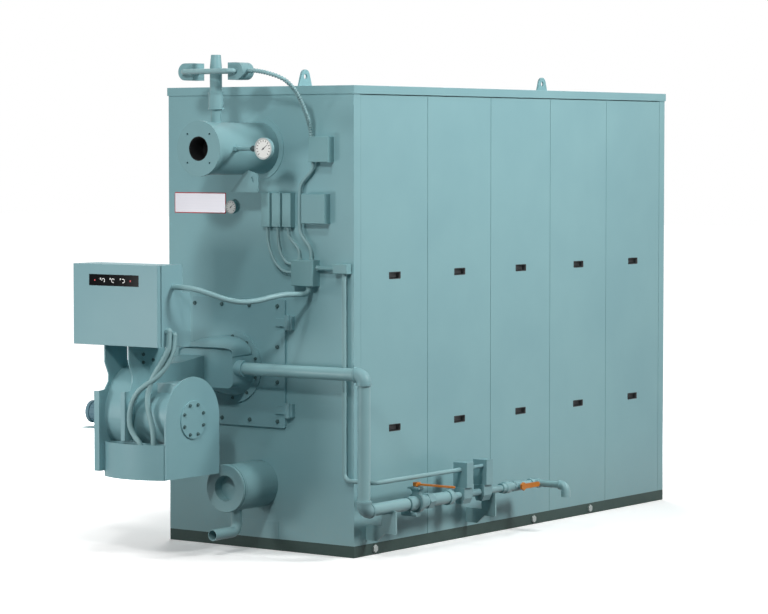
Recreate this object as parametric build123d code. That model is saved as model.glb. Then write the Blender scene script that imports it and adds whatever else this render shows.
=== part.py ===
from build123d import *
import math
import os

# Packaged watertube boiler with a forced-draught gas burner, at its real size in millimetres.
# X runs to the right seen from the burner end, Y runs to the back, Z is up.
# The origin is on the floor, in the middle of the casing.

# Casing
casing_width = 1375
casing_length = 3440
casing_height = 2700
base_height = 67
base_plug_flats = 42
base_plug_proud = 9
base_plug_stations = (200, 1869, 2526)
roof_depth = 48
roof_overhang = 6
roof_seam = 6
sheet_thickness = 3
corner_strip = 65
panel_count = 5
panel_thickness = 40
panel_seam = 3
panel_edge_radius = 2.5
handle_width = 115
handle_height = 42
handle_depth = 30
handle_levels = (721, 1606)
lug_spacing = 2568
lug_thickness = 12
lug_base_width = 130
lug_eye_height = 66
lug_eye_radius = 42
lug_hole_radius = 16
access_plate_width = 280
access_plate_height = 101
access_plate_thickness = 3
flue_drop = 520
flue_bore_radius = 197
flue_wall = 4
flue_length = 120
flue_flange_width = 30

# Upper drum and what it carries
upper_drum_drop = 360
drum_radius = 150
drum_wall = 10
upper_drum_reach = 512
end_plate_radius = 158
end_plate_thickness = 38
end_plate_groove = 6
groove_depth = 5
outlet_bore_radius = 69.5
outlet_bolt_circle = 230
outlet_bolt_count = 4
outlet_bolt_hole_radius = 6.5
collar_radius = 183
collar_thickness = 5
collar_clearance = 1
riser_reach = 392
riser_neck_radius = 30
riser_neck_rise = 223
coupling_radius = 42
coupling_rim = 3
coupling_rim_height = 9
coupling_length = 98
safety_body_radius = 35
safety_body_length = 138
safety_cap_radius = 28
safety_cap_length = 74
switch_below_body_top = 21
switch_inner_x = 129
switch_width = 108
switch_height = 98
switch_depth = 103
switch_nipple_radius = 14
link_radius = 15
link_standoff = 38
well_reach = 403
well_nut_flats = 34
well_nut_length = 20
well_stem_radius = 8
dial_radius = 61
dial_depth = 30
dial_centre_x = 362
drum_bracket_reach = 210
drum_bracket_thickness = 8
drum_bracket_drop = 250
drum_bracket_rib = 60

# Lower drum and drain
lower_drum_z = 384
lower_drum_radius = 135
lower_plate_radius = 140
lower_drum_reach = 322
lower_plate_thickness = 30
return_bore_radius = 75
return_bore_depth = 60
drain_radius = 32
drain_wall = 4
drain_offset = 217
drain_z = 125
drain_bend_radius = 46
drain_reach = 220

# Boxes on the front wall: left edge, right edge, drops of bottom and top below the roof, depth
upper_box_place = (404, 546, 437, 292, 58)
lower_box_place = (349, 520, 789, 620, 55)
central_box_place = (285, 443, 1148, 1000, 68)
box_edge_radius = 4
relay_width = 62
relay_pitch = 77
relay_first_x = 80
relay_drop = 813
relay_height = 198
relay_depth = 45
gauge_x = -196
gauge_drop = 702
gauge_radius = 39.5
gauge_depth = 24
elbow_from_side = 15.5
elbow_width = 100
elbow_bottom_drop = 1072
elbow_top_drop = 1017
elbow_depth = 50
gas_conduit_inset = 36
gas_conduit_level = 445
gas_conduit_bend = 45
wall_run_gap = 25
small_conduit_radius = 8
medium_conduit_radius = 10
rigid_conduit_radius = 13
power_conduit_radius = 15.5
flexible_conduit_radius = 11

# Burner mounting on the front wall
mount_plate_left = -494
mount_plate_right = 199
mount_plate_bottom = 720
mount_plate_top = 1468
mount_plate_thickness = 15
mount_plate_corner = 12
hinge_levels = (825, 1334)
hinge_height = 75
hinge_barrel_radius = 15
hinge_leaf_thickness = 12
hinge_leaf_gap = 2
hinge_moving_width = 92
hinge_fixed_width = 60
burner_x = -180
burner_z = 1061
burner_flange_radius = 210
burner_flange_thickness = 12
windbox_radius = 168
windbox_reach = 173
windbox_left = -462
windbox_right = -62
windbox_bottom = 948
windbox_top = 1172
windbox_corner = 40
gas_boss_radius = 48

# Fan and its plates
fan_reach = 584
fan_z = 809
fan_outer_x = -484
fan_inner_x = -297
fan_plate = 8
scroll_back = 190
scroll_bottom = 215
scroll_front = 238
scroll_top = 291
scroll_throat = 140
scroll_outlet_reach = 350
plate_front_reach = 869
inner_front_reach = 853
plate_bottom = 503
plate_shoulder = 961
neck_front_reach = 815
fold_width = 30
inlet_radius = 188
inlet_box_left = -180
inlet_box_half_depth = 120
inlet_box_top = 1012
end_plate_x = -20
burner_end_thickness = 12
burner_end_half_width = 236
burner_end_bottom = 474
cover_radius = 109.5
cover_thickness = 8
tray_bottom = 472
tray_top = 672
tray_front_reach = 826
tray_bulge = 62
tray_back_reach = 777
tray_wall = 3
motor_radius = 66
motor_core_radius = 60
motor_fin_count = 24
motor_fin_width = 4
motor_length = 300
motor_cap_length = 38
motor_flange_radius = 82
motor_flange_thickness = 12
motor_foot = 6
motor_foot_stations = (60, 210)
motor_foot_width = 30
motor_foot_depth = 80
motor_foot_clearance = 0.3
shelf_thickness = 5
shelf_width = 130
shelf_overhang = 16
gusset_drop = 110
gusset_inset = 30
gusset_thickness = 6

# Control cabinet
cabinet_left = -694
cabinet_right = -62
cabinet_front_reach = 840
cabinet_depth = 217
cabinet_bottom = 1222
cabinet_top = 1684
cabinet_wall = 3
door_depth = 28
door_groove = 10
door_lip = 8
door_gap = 0.5
hinge_offset = 12
knuckle_radius = 6
knuckle_length = 30
hinge_pin_radius = 3
hinge_pin_clearance = 0.4
door_hinge_levels = (1320, 1590)
mounting_plate_margin = 40
mounting_plate_thickness = 3
mounting_stud_radius = 6
mounting_stud_length = 25
display_left = -573
display_right = -199
display_bottom = 1561
display_top = 1626
display_thickness = 3
back_box_left = -400
back_box_right = -70
back_box_depth = 80
back_box_bottom = 1215
back_box_top = 1524

# Gas train
gas_offset = 163.5
gas_z = 294
gas_radius = 36.5
gas_front_reach = 125
gas_front_z = 1064
gas_elbow_radius = 42
gas_elbow_reach = 58
gas_collar_radius = 45
gas_collar_length = 14
small_gas_radius = 21
small_elbow_radius = 26
small_elbow_reach = 46
small_collar_radius = 29
valve_station = 388
valve_disc_radius = 56
valve_disc_thickness = 34
valve_neck_top = 376
valve_flange_size = 78
valve_flange_thickness = 10
valve_inlet_length = 108
valve_outlet_length = 142
union_flats = 84
union_collar_radius = 42
reducer_station = 685
reducer_collar_length = 45
reducer_length = 60
stem_radius = 8
stem_clearance = 0.4
stem_depth = 24
lever_gap = 6
lever_hub_radius = 22
lever_hub_height = 20
main_lever_length = 268
main_lever_width = 26
main_lever_thickness = 10
safety_valve_stations = (862, 1068)
safety_valve_length = 84
safety_valve_width = 74
safety_valve_drop = 52
safety_valve_seat = 44
actuator_width = 100
actuator_depth = 68
actuator_bottom = 338
actuator_height = 150
union_station = 1258
union_length = 117
union_nut_step = 7
ball_valve_offset = 45
ball_valve_radius = 32
ball_valve_length = 88
ball_boss_radius = 18
ball_boss_reach = 44
inlet_lever_length = 178
inlet_lever_width = 30
inlet_lever_thickness = 7
inlet_elbow_station = 1620
inlet_run = 234
inlet_drop = 70
trap_bar_length = 107
trap_bar_radius = 13
trap_bar_z = 234
trap_stem_radius = 6
trap_before_valve = 69
bracket_stations = (120, 1135)
bracket_thickness = 12
bracket_foot_top = 180
bracket_foot_bottom = 92
bracket_foot_reach = 80
bracket_post_left = 112
bracket_post_width = 100
bracket_post_bottom = 140

front_y = -casing_length / 2
rear_y = casing_length / 2
side_x = casing_width / 2
core_x = side_x - panel_thickness
core_front_y = front_y + sheet_thickness
core_rear_y = rear_y - sheet_thickness
roof_bottom = casing_height - roof_depth
flue_height = casing_height - flue_drop
upper_drum_z = casing_height - upper_drum_drop
drum_bracket_bottom = upper_drum_z - drum_bracket_drop
riser_neck_top = upper_drum_z + riser_neck_rise
switch_z = riser_neck_top + coupling_length + safety_body_length - switch_below_body_top
relay_bottom = casing_height - relay_drop
elbow_place = (side_x - elbow_from_side - elbow_width, side_x - elbow_from_side,
               elbow_bottom_drop, elbow_top_drop, elbow_depth)

# Stations in front of the front wall
riser_y = front_y - riser_reach
well_y = front_y - well_reach
drum_bracket_y = front_y - drum_bracket_reach
drain_y = front_y - drain_offset
windbox_front_y = front_y - windbox_reach
fan_y = front_y - fan_reach
scroll_outlet_y = front_y - scroll_outlet_reach
plate_front_y = front_y - plate_front_reach
inner_front_y = front_y - inner_front_reach
neck_front_y = front_y - neck_front_reach
tray_front_y = front_y - tray_front_reach
tray_back_y = front_y - tray_back_reach
cabinet_front_y = front_y - cabinet_front_reach
cabinet_back_y = cabinet_front_y + cabinet_depth
neck_back_y = cabinet_back_y
cabinet_neck_y = cabinet_front_y + door_depth - 3
door_hinge_y = cabinet_front_y + door_depth - 2
gas_pipe_start = burner_x + windbox_radius + 4

# Stations along the gas train
gas_x = side_x + gas_offset
gas_front_y = front_y - gas_front_reach
valve_y = front_y + valve_station
valve_inlet_y = valve_y - valve_inlet_length
valve_outlet_y = valve_y + valve_outlet_length
trap_y = valve_y - trap_before_valve
reducer_start_y = front_y + reducer_station
safety_valve_y = [front_y + station for station in safety_valve_stations]
union_start_y = front_y + union_station
union_end_y = union_start_y + union_length
ball_valve_y = union_end_y + ball_valve_offset
inlet_elbow_y = front_y + inlet_elbow_station
bracket_y = [front_y + station for station in bracket_stations]
os.makedirs("parts", exist_ok=True)


def block(x0, x1, y0, y1, z0, z1):
    """Box between two corners."""
    return Pos((x0 + x1) / 2, (y0 + y1) / 2, (z0 + z1) / 2) * Box(x1 - x0, y1 - y0, z1 - z0)


def along(axis, solid, u, v):
    """Turns a solid made about the Z axis to lie along an axis through the point (u, v)."""
    turn = {"x": Rot(0, 90, 0), "y": Rot(-90, 0, 0), "z": Rot(0, 0, 0)}[axis]
    place = {"x": Pos(0, u, v), "y": Pos(u, 0, v), "z": Pos(u, v, 0)}[axis]
    return place * turn * solid


def rod(axis, radius, start, end, u, v):
    """Round bar along an axis, from start to end."""
    return along(axis, Pos(0, 0, (start + end) / 2) * Cylinder(radius, end - start), u, v)


def turned(axis, outline, u, v):
    """Solid turned about an axis; the outline lists (radius, station) corners."""
    corners = [(radius, 0, station) for radius, station in outline]
    face = make_face(Polyline(*corners, close=True))
    return along(axis, revolve(face, Axis.Z), u, v)


def hexagon(axis, flats, start, end, u, v):
    """Hexagonal bar along an axis."""
    profile = RegularPolygon(flats / 2, 6, major_radius=False)
    return along(axis, Pos(0, 0, start) * extrude(profile, end - start), u, v)


def prism(plane, corners, start, end):
    """Flat outline drawn on a plane and given a thickness between two offsets of its normal."""
    face = plane.offset(start) * make_face(Polyline(*corners, close=True))
    return extrude(face, end - start)


def bend_radii(points):
    """Bend radii as large as the runs beside each corner allow."""
    radii = []
    vectors = [Vector(*point) for point in points]
    for before, corner, after in zip(vectors, vectors[1:], vectors[2:]):
        shorter = min((corner - before).length, (after - corner).length)
        turn = (corner - before).get_angle(after - corner)
        radii.append(0.45 * shorter / math.tan(math.radians(turn / 2)))
    return radii


def tube(points, radius, radii=None):
    """Round conduit along straight runs joined by tangent arcs."""
    path = FilletPolyline(*points, radius=radii or bend_radii(points))
    section = Plane(origin=path @ 0, z_dir=path % 0) * Circle(radius)
    return sweep(section, path=path)


def in_front(route):
    """Route points given as (x, reach in front of the wall, z)."""
    return [(x, front_y - reach, z) for x, reach, z in route]


def elbow(corner, to_start, to_end, radius, reach, collar_radius):
    """Screwed pipe elbow with a collar at each end."""
    corner = Vector(*corner)
    start_dir = Vector(*to_start)
    end_dir = Vector(*to_end)
    ends = [corner + start_dir * reach, corner, corner + end_dir * reach]
    body = tube(ends, radius, [reach - gas_collar_length + 1])
    for end, direction in ((ends[0], start_dir), (ends[2], end_dir)):
        collar = Plane(origin=end, z_dir=direction * -1) * Circle(collar_radius)
        body += extrude(collar, gas_collar_length)
    return body


def below_roof(place):
    """Box place whose bottom and top are given as drops below the roof, with both turned into heights."""
    left, right, bottom_drop, top_drop, depth = place
    return left, right, casing_height - bottom_drop, casing_height - top_drop, depth


def box_on_wall(size):
    """Box standing on the front wall, with soft outer edges."""
    left, right, bottom, top, depth = size
    solid = block(left, right, front_y - depth, front_y, bottom, top)
    return fillet(solid.faces().sort_by(Axis.Y)[0].edges(), box_edge_radius)


def group(*solids):
    """Several solids that don't touch, kept together in one piece of the assembly."""
    return Compound(children=list(solids))


upper_box = below_roof(upper_box_place)
lower_box = below_roof(lower_box_place)
central_box = below_roof(central_box_place)
elbow_fitting = below_roof(elbow_place)


# Casing

def base_frame():
    """Skid under the casing, with hexagonal plugs along both side bands."""
    base = block(-side_x, side_x, front_y, rear_y, 0, base_height)
    for station in base_plug_stations:
        for start in (side_x, -side_x - base_plug_proud):
            base += hexagon("x", base_plug_flats, start, start + base_plug_proud,
                            front_y + station, base_height / 2)
    return base


def boiler_core():
    """Insulated pressure-vessel block behind the casing sheets."""
    return block(-core_x, core_x, front_y + sheet_thickness, rear_y - sheet_thickness, base_height, roof_bottom)


def front_wall():
    """Front sheet with both drum holes, the collar ring and the low access plate."""
    wall = block(-side_x, side_x, front_y, front_y + sheet_thickness, base_height, roof_bottom)
    wall += rod("y", collar_radius, front_y - collar_thickness, front_y, 0, upper_drum_z)
    half_plate = access_plate_width / 2
    plate_top = base_height + access_plate_height
    wall += block(-half_plate, half_plate, front_y - access_plate_thickness, front_y, base_height, plate_top)
    for radius, level in ((drum_radius, upper_drum_z), (lower_drum_radius, lower_drum_z)):
        hole = rod("y", radius + collar_clearance, front_y - 2 * collar_thickness, core_front_y, 0, level)
        wall -= hole
    return wall


def rear_wall():
    """Rear sheet."""
    return block(-side_x, side_x, rear_y - sheet_thickness, rear_y, base_height, roof_bottom)


def side_panels(side):
    """Five lift-off insulated panels on one side, each with two recessed handles."""
    panel_pitch = (casing_length - 2 * corner_strip) / panel_count
    panel_top = roof_bottom - roof_seam
    panels = []
    for index in range(panel_count):
        start = front_y + corner_strip + index * panel_pitch + panel_seam / 2
        end = start + panel_pitch - panel_seam
        panel = block(core_x, side_x, start, end, base_height, panel_top)
        outer = panel.faces().sort_by(Axis.X)[-1]
        panel = fillet(outer.edges().filter_by(Axis.Z), panel_edge_radius)
        middle = (start + end) / 2
        for level in handle_levels:
            panel -= block(side_x - handle_depth, side_x + 1,
                           middle - handle_width / 2, middle + handle_width / 2,
                           level - handle_height / 2, level + handle_height / 2)
        panels.append(panel if side > 0 else mirror(panel, about=Plane.YZ))
    return group(*panels)


def corner_strips():
    """Narrow fixed strips at the four corners of the casing."""
    strips = []
    for x0, x1 in ((-side_x, -core_x), (core_x, side_x)):
        for y0, y1 in ((core_front_y, front_y + corner_strip), (rear_y - corner_strip, core_rear_y)):
            strips.append(block(x0, x1, y0, y1, base_height, roof_bottom))
    return group(*strips)


def roof_cap():
    """Flat roof tray with a lip that overhangs the walls a little."""
    cap = block(-side_x - roof_overhang, side_x + roof_overhang,
                front_y - roof_overhang, rear_y + roof_overhang, roof_bottom, casing_height)
    top = cap.faces().sort_by(Axis.Z)[-1]
    return fillet(top.edges(), panel_edge_radius)


def lifting_lugs():
    """Two tapered lifting eyes on the centre line of the roof."""
    eye_z = casing_height + lug_eye_height
    eye = Pos(0, eye_z) * Circle(lug_eye_radius)
    foot = Pos(0, casing_height + 1) * Rectangle(lug_base_width, 2)
    outline = make_hull(eye.edges() + foot.edges()) - Pos(0, eye_z) * Circle(lug_hole_radius)
    lugs = []
    for station in (-lug_spacing / 2, lug_spacing / 2):
        plane = Plane(origin=(-lug_thickness / 2, station, 0), x_dir=(0, 1, 0), z_dir=(1, 0, 0))
        lugs.append(extrude(plane * outline, lug_thickness))
    return group(*lugs)


def flue_collar():
    """Round flue connection on the rear wall."""
    outer = flue_bore_radius + flue_wall
    collar = rod("y", outer, rear_y, rear_y + flue_length, 0, flue_height)
    collar += rod("y", outer + flue_flange_width, rear_y, rear_y + flue_wall, 0, flue_height)
    return collar - rod("y", flue_bore_radius, rear_y - 1, rear_y + flue_length + 1, 0, flue_height)


# Upper drum

def upper_drum():
    """Hollow drum end with a thick bored end plate behind a dark groove."""
    face = front_y - upper_drum_reach - end_plate_thickness
    back_of_plate = front_y - upper_drum_reach
    outline = [
        (outlet_bore_radius, face),
        (end_plate_radius, face),
        (end_plate_radius, back_of_plate - end_plate_groove),
        (drum_radius - groove_depth, back_of_plate - end_plate_groove),
        (drum_radius - groove_depth, back_of_plate),
        (drum_radius, back_of_plate),
        (drum_radius, core_front_y),
        (drum_radius - drum_wall, core_front_y),
        (drum_radius - drum_wall, back_of_plate),
        (outlet_bore_radius, back_of_plate),
    ]
    drum = turned("y", outline, 0, upper_drum_z)
    for index in range(outlet_bolt_count):
        angle = math.radians(45 + index * 360 / outlet_bolt_count)
        x = outlet_bolt_circle / 2 * math.cos(angle)
        z = upper_drum_z + outlet_bolt_circle / 2 * math.sin(angle)
        drum -= rod("y", outlet_bolt_hole_radius, face - 1, back_of_plate + 1, x, z)
    return drum


def riser_fitting():
    """Neck on the drum, screwed coupling and pressure relief body, turned about one vertical line."""
    rim_radius = coupling_radius + coupling_rim
    coupling_top = riser_neck_top + coupling_length
    body_top = coupling_top + safety_body_length
    outline = [
        (0, upper_drum_z),
        (riser_neck_radius, upper_drum_z),
        (riser_neck_radius, riser_neck_top),
        (rim_radius, riser_neck_top),
        (rim_radius, riser_neck_top + coupling_rim_height),
        (coupling_radius, riser_neck_top + coupling_rim_height),
        (coupling_radius, coupling_top - coupling_rim_height),
        (rim_radius, coupling_top - coupling_rim_height),
        (rim_radius, coupling_top),
        (safety_body_radius, coupling_top),
        (safety_body_radius, body_top),
        (safety_cap_radius, body_top + safety_cap_length),
        (0, body_top + safety_cap_length),
    ]
    riser = turned("z", outline, 0, riser_y)
    return riser - rod("y", drum_radius, front_y - upper_drum_reach - 1, front_y, 0, upper_drum_z)


def switch_head(side):
    """D-ended pressure switch housing with the nipple that carries it from the riser."""
    radius = switch_height / 2
    flat_end = switch_inner_x
    round_centre = switch_inner_x + switch_width - radius
    y0 = riser_y - switch_depth / 2
    y1 = riser_y + switch_depth / 2
    head = block(flat_end, round_centre, y0, y1, switch_z - radius, switch_z + radius)
    head += rod("y", radius, y0, y1, round_centre, switch_z)
    nipple = rod("x", switch_nipple_radius, 0, flat_end, riser_y, switch_z)
    nipple -= rod("z", safety_body_radius, switch_z - radius, switch_z + radius, 0, riser_y)
    nipple_side = nipple.solids().sort_by(Axis.X)[-1]
    head += nipple_side
    return head if side > 0 else mirror(head, about=Plane.YZ)


def switch_link():
    """Conduit that runs in front of the riser from one switch head to the other."""
    face_y = riser_y - switch_depth / 2
    end_x = switch_inner_x + switch_width / 2
    run_y = face_y - link_standoff
    route = [(-end_x, face_y), (-end_x, run_y), (end_x, run_y), (end_x, face_y)]
    bend = link_standoff - 4
    return tube([(x, y, switch_z) for x, y in route], link_radius, [bend, bend])


def thermometer():
    """Bimetal dial thermometer on a thermowell in the drum's side."""
    nut_end = drum_radius + well_nut_length
    stem_end = dial_centre_x - dial_radius + 2
    well = hexagon("x", well_nut_flats, drum_radius - 20, nut_end, well_y, upper_drum_z)
    well += rod("x", well_stem_radius, nut_end, stem_end, well_y, upper_drum_z)
    well -= rod("y", drum_radius, well_y - 60, well_y + 60, 0, upper_drum_z)
    half = dial_depth / 2
    outline = [
        (0, well_y - half + 3),
        (dial_radius - 5, well_y - half + 3),
        (dial_radius - 4, well_y - half),
        (dial_radius, well_y - half),
        (dial_radius, well_y + half - 4),
        (dial_radius - 6, well_y + half),
        (0, well_y + half),
    ]
    return well + turned("y", outline, dial_centre_x, upper_drum_z)


def drum_bracket():
    """Slotted plate coped to the underside of the drum, with a rib behind it."""
    bottom = drum_bracket_bottom
    corners = [(-45, bottom), (72, bottom + 126), (92, bottom + 126), (157, bottom + 104), (157, bottom)]
    y0 = drum_bracket_y
    y1 = drum_bracket_y + drum_bracket_thickness
    plate = prism(Plane.XZ, corners, -y1, -y0)
    slot = Pos(120, 0, bottom + 73) * Rot(0, 70, 0) * Box(34, 3 * drum_bracket_thickness, 10)
    plate -= Pos(0, y0, 0) * slot
    plate += block(44, 52, y1, y1 + drum_bracket_rib, bottom + 10, upper_drum_z)
    return plate - rod("y", drum_radius, y0 - 1, y1 + drum_bracket_rib + 1, 0, upper_drum_z)


# Front wall fittings

def pressure_gauge():
    """Small dial gauge on the wall beside the bare plate."""
    z = casing_height - gauge_drop
    face = front_y - gauge_depth
    outline = [
        (0, face + 3),
        (gauge_radius - 4, face + 3),
        (gauge_radius - 3, face),
        (gauge_radius, face),
        (gauge_radius, front_y),
        (0, front_y),
    ]
    return turned("y", outline, gauge_x, z)


def junction_boxes():
    """Three junction boxes on the front wall."""
    return group(box_on_wall(upper_box), box_on_wall(lower_box), box_on_wall(central_box))


def relay_boxes():
    """Row of three slim relay boxes."""
    boxes = []
    for index in range(3):
        left = relay_first_x - relay_width / 2 + index * relay_pitch
        size = (left, left + relay_width, relay_bottom, relay_bottom + relay_height, relay_depth)
        boxes.append(box_on_wall(size))
    return group(*boxes)


def relay_conduits():
    """Small conduits from the relay boxes into the central junction box."""
    y = front_y - wall_run_gap
    left = central_box[0]
    top = central_box[3]
    first, second, third = [relay_first_x + index * relay_pitch for index in range(3)]
    routes = [
        [(first, relay_bottom), (first, relay_bottom - 72), (104, top + 37), (146, top - 32),
         (205, top - 73), (left, top - 73)],
        [(second, relay_bottom), (second, relay_bottom - 72), (176, top + 35), (222, top - 24), (left, top - 24)],
        [(third, relay_bottom), (third, relay_bottom - 47), (272, top + 100), (314, top + 58), (314, top)],
    ]
    return group(*[tube([(x, y, z) for x, z in route], small_conduit_radius) for route in routes])


def switch_conduit():
    """Flexible conduit from the right switch head to the upper box, and on to the central box."""
    head_end = switch_inner_x + switch_width
    upper_left = upper_box[0]
    upper_low = upper_box[2]
    central_top = central_box[3]
    wall_y = front_y - wall_run_gap
    upper_run = [
        (head_end, riser_y, switch_z),
        (305, riser_y, switch_z),
        (362, riser_y + 28, switch_z - 16),
        (410, riser_y + 77, switch_z - 50),
        (440, riser_y + 150, switch_z - 98),
        (449, riser_y + 227, switch_z - 168),
        (442, riser_y + 300, switch_z - 238),
        (upper_left + 20, wall_y - 5, switch_z - 298),
        (upper_left + 20, wall_y - 5, upper_box[3]),
    ]
    lower_run = [
        (upper_left + 14, wall_y, upper_low),
        (upper_left + 14, wall_y, upper_low - 48),
        (360, wall_y, upper_low - 93),
        (324, wall_y, upper_low - 137),
        (317, wall_y, upper_low - 223),
        (316, wall_y, central_top + 240),
        (320, wall_y, central_top + 162),
        (356, wall_y, central_top + 115),
        (400, wall_y, central_top + 66),
        (400, wall_y, central_top),
    ]
    return group(tube(upper_run, flexible_conduit_radius), tube(lower_run, medium_conduit_radius))


def elbow_body():
    """Cast conduit body at the turn above the gas line, with its link to the central box."""
    body = box_on_wall(elbow_fitting)
    level = (elbow_fitting[2] + elbow_fitting[3]) / 2
    body += rod("x", rigid_conduit_radius, central_box[1], elbow_fitting[0], front_y - wall_run_gap, level)
    return body


def gas_train_conduit():
    """Rigid conduit down the front wall and along the gas train to the first actuator."""
    x = elbow_fitting[1] - gas_conduit_inset
    y = front_y - wall_run_gap
    z = gas_conduit_level
    end_y = safety_valve_y[0] - actuator_depth / 2
    points = [(x, y, elbow_fitting[2]), (x, y, z), (gas_x, y, z), (gas_x, end_y, z)]
    return tube(points, rigid_conduit_radius, [gas_conduit_bend, gas_conduit_bend])


# Burner

def burner_mounting_plate():
    """Bolted plate that carries the burner."""
    plate = block(mount_plate_left, mount_plate_right, front_y - mount_plate_thickness, front_y,
                  mount_plate_bottom, mount_plate_top)
    return fillet(plate.edges().filter_by(Axis.Y), mount_plate_corner)


def plate_hinges():
    """Two heavy hinges at the right edge of the mounting plate."""
    plate_y = front_y - mount_plate_thickness
    leaf_y = plate_y - hinge_leaf_thickness
    barrel_x = mount_plate_right + hinge_fixed_width / 2
    fixed_end = mount_plate_right + hinge_leaf_gap + hinge_fixed_width
    half = hinge_height / 2
    hinges = []
    for level in hinge_levels:
        moving_leaf = block(barrel_x - hinge_moving_width, barrel_x, leaf_y, plate_y,
                            level - half * 0.6, level + half * 0.6)
        fixed_leaf = block(mount_plate_right + hinge_leaf_gap, fixed_end, leaf_y, front_y, level - half, level + half)
        barrel = rod("z", hinge_barrel_radius, level - half - 6, level + half + 6, barrel_x, leaf_y)
        hinges.append(moving_leaf + fixed_leaf + barrel)
    return group(*hinges)


def windbox():
    """Burner housing lofted from a rounded box to the round throat flange, with the gas pipe's boss."""
    plate_y = front_y - mount_plate_thickness
    flange_y = plate_y - burner_flange_thickness
    middle_x = (windbox_left + windbox_right) / 2
    middle_z = (windbox_bottom + windbox_top) / 2
    front = Plane(origin=(middle_x, windbox_front_y, middle_z), x_dir=(1, 0, 0), z_dir=(0, -1, 0))
    back = Plane(origin=(burner_x, flange_y, burner_z), x_dir=(1, 0, 0), z_dir=(0, -1, 0))
    box_face = front * RectangleRounded(windbox_right - windbox_left, windbox_top - windbox_bottom, windbox_corner)
    housing = loft([box_face, back * Circle(windbox_radius)])
    housing += rod("y", burner_flange_radius, flange_y, plate_y, burner_x, burner_z)
    return housing + rod("x", gas_boss_radius, burner_x, gas_pipe_start, gas_front_y, gas_front_z)


def air_duct():
    """Transition duct from the fan outlet to the burner housing."""
    left = fan_outer_x + fan_plate
    right = fan_inner_x - fan_plate
    middle_x = (left + right) / 2
    width = right - left
    height = windbox_top - windbox_bottom - 2 * windbox_corner
    small_origin = (middle_x, scroll_outlet_y, fan_z + scroll_top - scroll_throat / 2)
    large_origin = (windbox_left + windbox_corner + width / 2 - 20, windbox_front_y, (windbox_top + windbox_bottom) / 2)
    small = Plane(origin=small_origin, x_dir=(1, 0, 0), z_dir=(0, -1, 0))
    large = Plane(origin=large_origin, x_dir=(1, 0, 0), z_dir=(0, -1, 0))
    return loft([small * Rectangle(width, scroll_throat), large * Rectangle(width - 20, height)])


def fan_scroll():
    """Volute of the fan: four quarter ellipses whose reach grows towards the top outlet."""
    left = fan_outer_x + fan_plate
    right = fan_inner_x - fan_plate
    back = (fan_y + scroll_back, fan_z)
    bottom = (fan_y, fan_z - scroll_bottom)
    front = (fan_y - scroll_front, fan_z)
    top = (fan_y, fan_z + scroll_top)
    centre = (fan_y, fan_z)
    outlet_top = (scroll_outlet_y, fan_z + scroll_top)
    outlet_low = (scroll_outlet_y, fan_z + scroll_top - scroll_throat)
    tongue = (fan_y + scroll_back, fan_z + scroll_top - scroll_throat)
    edges = [
        EllipticalCenterArc(centre, scroll_back, scroll_bottom, start_angle=270, arc_size=90),
        EllipticalCenterArc(centre, scroll_front, scroll_bottom, start_angle=180, arc_size=90),
        EllipticalCenterArc(centre, scroll_front, scroll_top, start_angle=90, arc_size=90),
        Line(top, outlet_top),
        Line(outlet_top, outlet_low),
        Line(outlet_low, tongue),
        Line(tongue, back),
    ]
    face = make_face(edges)
    plane = Plane(origin=(left, 0, 0), x_dir=(0, 1, 0), z_dir=(1, 0, 0))
    return extrude(plane * face, right - left)


def fan_plate_outline(front, lower_front, lower_bottom):
    """Side plate seen along X: a broad lower part, a waist and a neck up to the cabinet."""
    rear = 2 * fan_y - plate_front_y
    waist = neck_front_y + 30
    return [
        (front, lower_front),
        (front, plate_shoulder),
        (front + 52, plate_shoulder + 6),
        (waist, plate_shoulder + 50),
        (waist + 2, plate_shoulder + 92),
        (neck_front_y, plate_shoulder + 164),
        (neck_front_y, cabinet_bottom),
        (neck_back_y, cabinet_bottom),
        (neck_back_y, plate_shoulder + 164),
        (rear - 90, plate_shoulder + 20),
        (rear, plate_shoulder - 40),
        (rear, plate_bottom),
        (tray_back_y + 5, plate_bottom),
        (tray_back_y + 5, lower_bottom),
    ]


def fan_side_plates():
    """Two tall plates that hold the scroll and carry the cabinet, each with a folded front edge."""
    side = Plane(origin=(0, 0, 0), x_dir=(0, 1, 0), z_dir=(1, 0, 0))
    outer_corners = fan_plate_outline(plate_front_y, plate_bottom, plate_bottom)
    outer = prism(side, outer_corners[:12], fan_outer_x, fan_outer_x + fan_plate)
    outer += block(fan_outer_x - fold_width, fan_outer_x, plate_front_y, plate_front_y + fan_plate,
                   plate_bottom, plate_shoulder)
    inner_bottom = tray_top + 13
    inner_corners = fan_plate_outline(inner_front_y, inner_bottom, inner_bottom)
    inner = prism(side, inner_corners, fan_inner_x - fan_plate, fan_inner_x)
    inner += block(fan_inner_x - fold_width, fan_inner_x, inner_front_y, inner_front_y + fan_plate,
                   inner_bottom, plate_shoulder)
    return group(outer, inner)


def inlet_casing():
    """Round air inlet casing with a square top, between the inner plate and the end plate."""
    right = end_plate_x - burner_end_thickness
    casing = rod("x", inlet_radius, fan_inner_x, right, fan_y, fan_z)
    casing += block(inlet_box_left, right, fan_y - inlet_box_half_depth, fan_y + inlet_box_half_depth,
                    fan_z, inlet_box_top)
    return casing


def burner_end_plate():
    """Arched end plate of the burner."""
    side = Plane(origin=(end_plate_x - burner_end_thickness, fan_y, fan_z), x_dir=(0, 1, 0), z_dir=(1, 0, 0))
    drop = fan_z - burner_end_bottom
    profile = Pos(0, -drop / 2) * Rectangle(2 * burner_end_half_width, drop) + Circle(burner_end_half_width)
    return extrude(side * profile, burner_end_thickness)


def inlet_cover():
    """Round bolted cover on the end plate."""
    cover = rod("x", cover_radius, end_plate_x, end_plate_x + cover_thickness, fan_y, fan_z - 8)
    return fillet(cover.faces().sort_by(Axis.X)[-1].edges(), 2)


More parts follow.
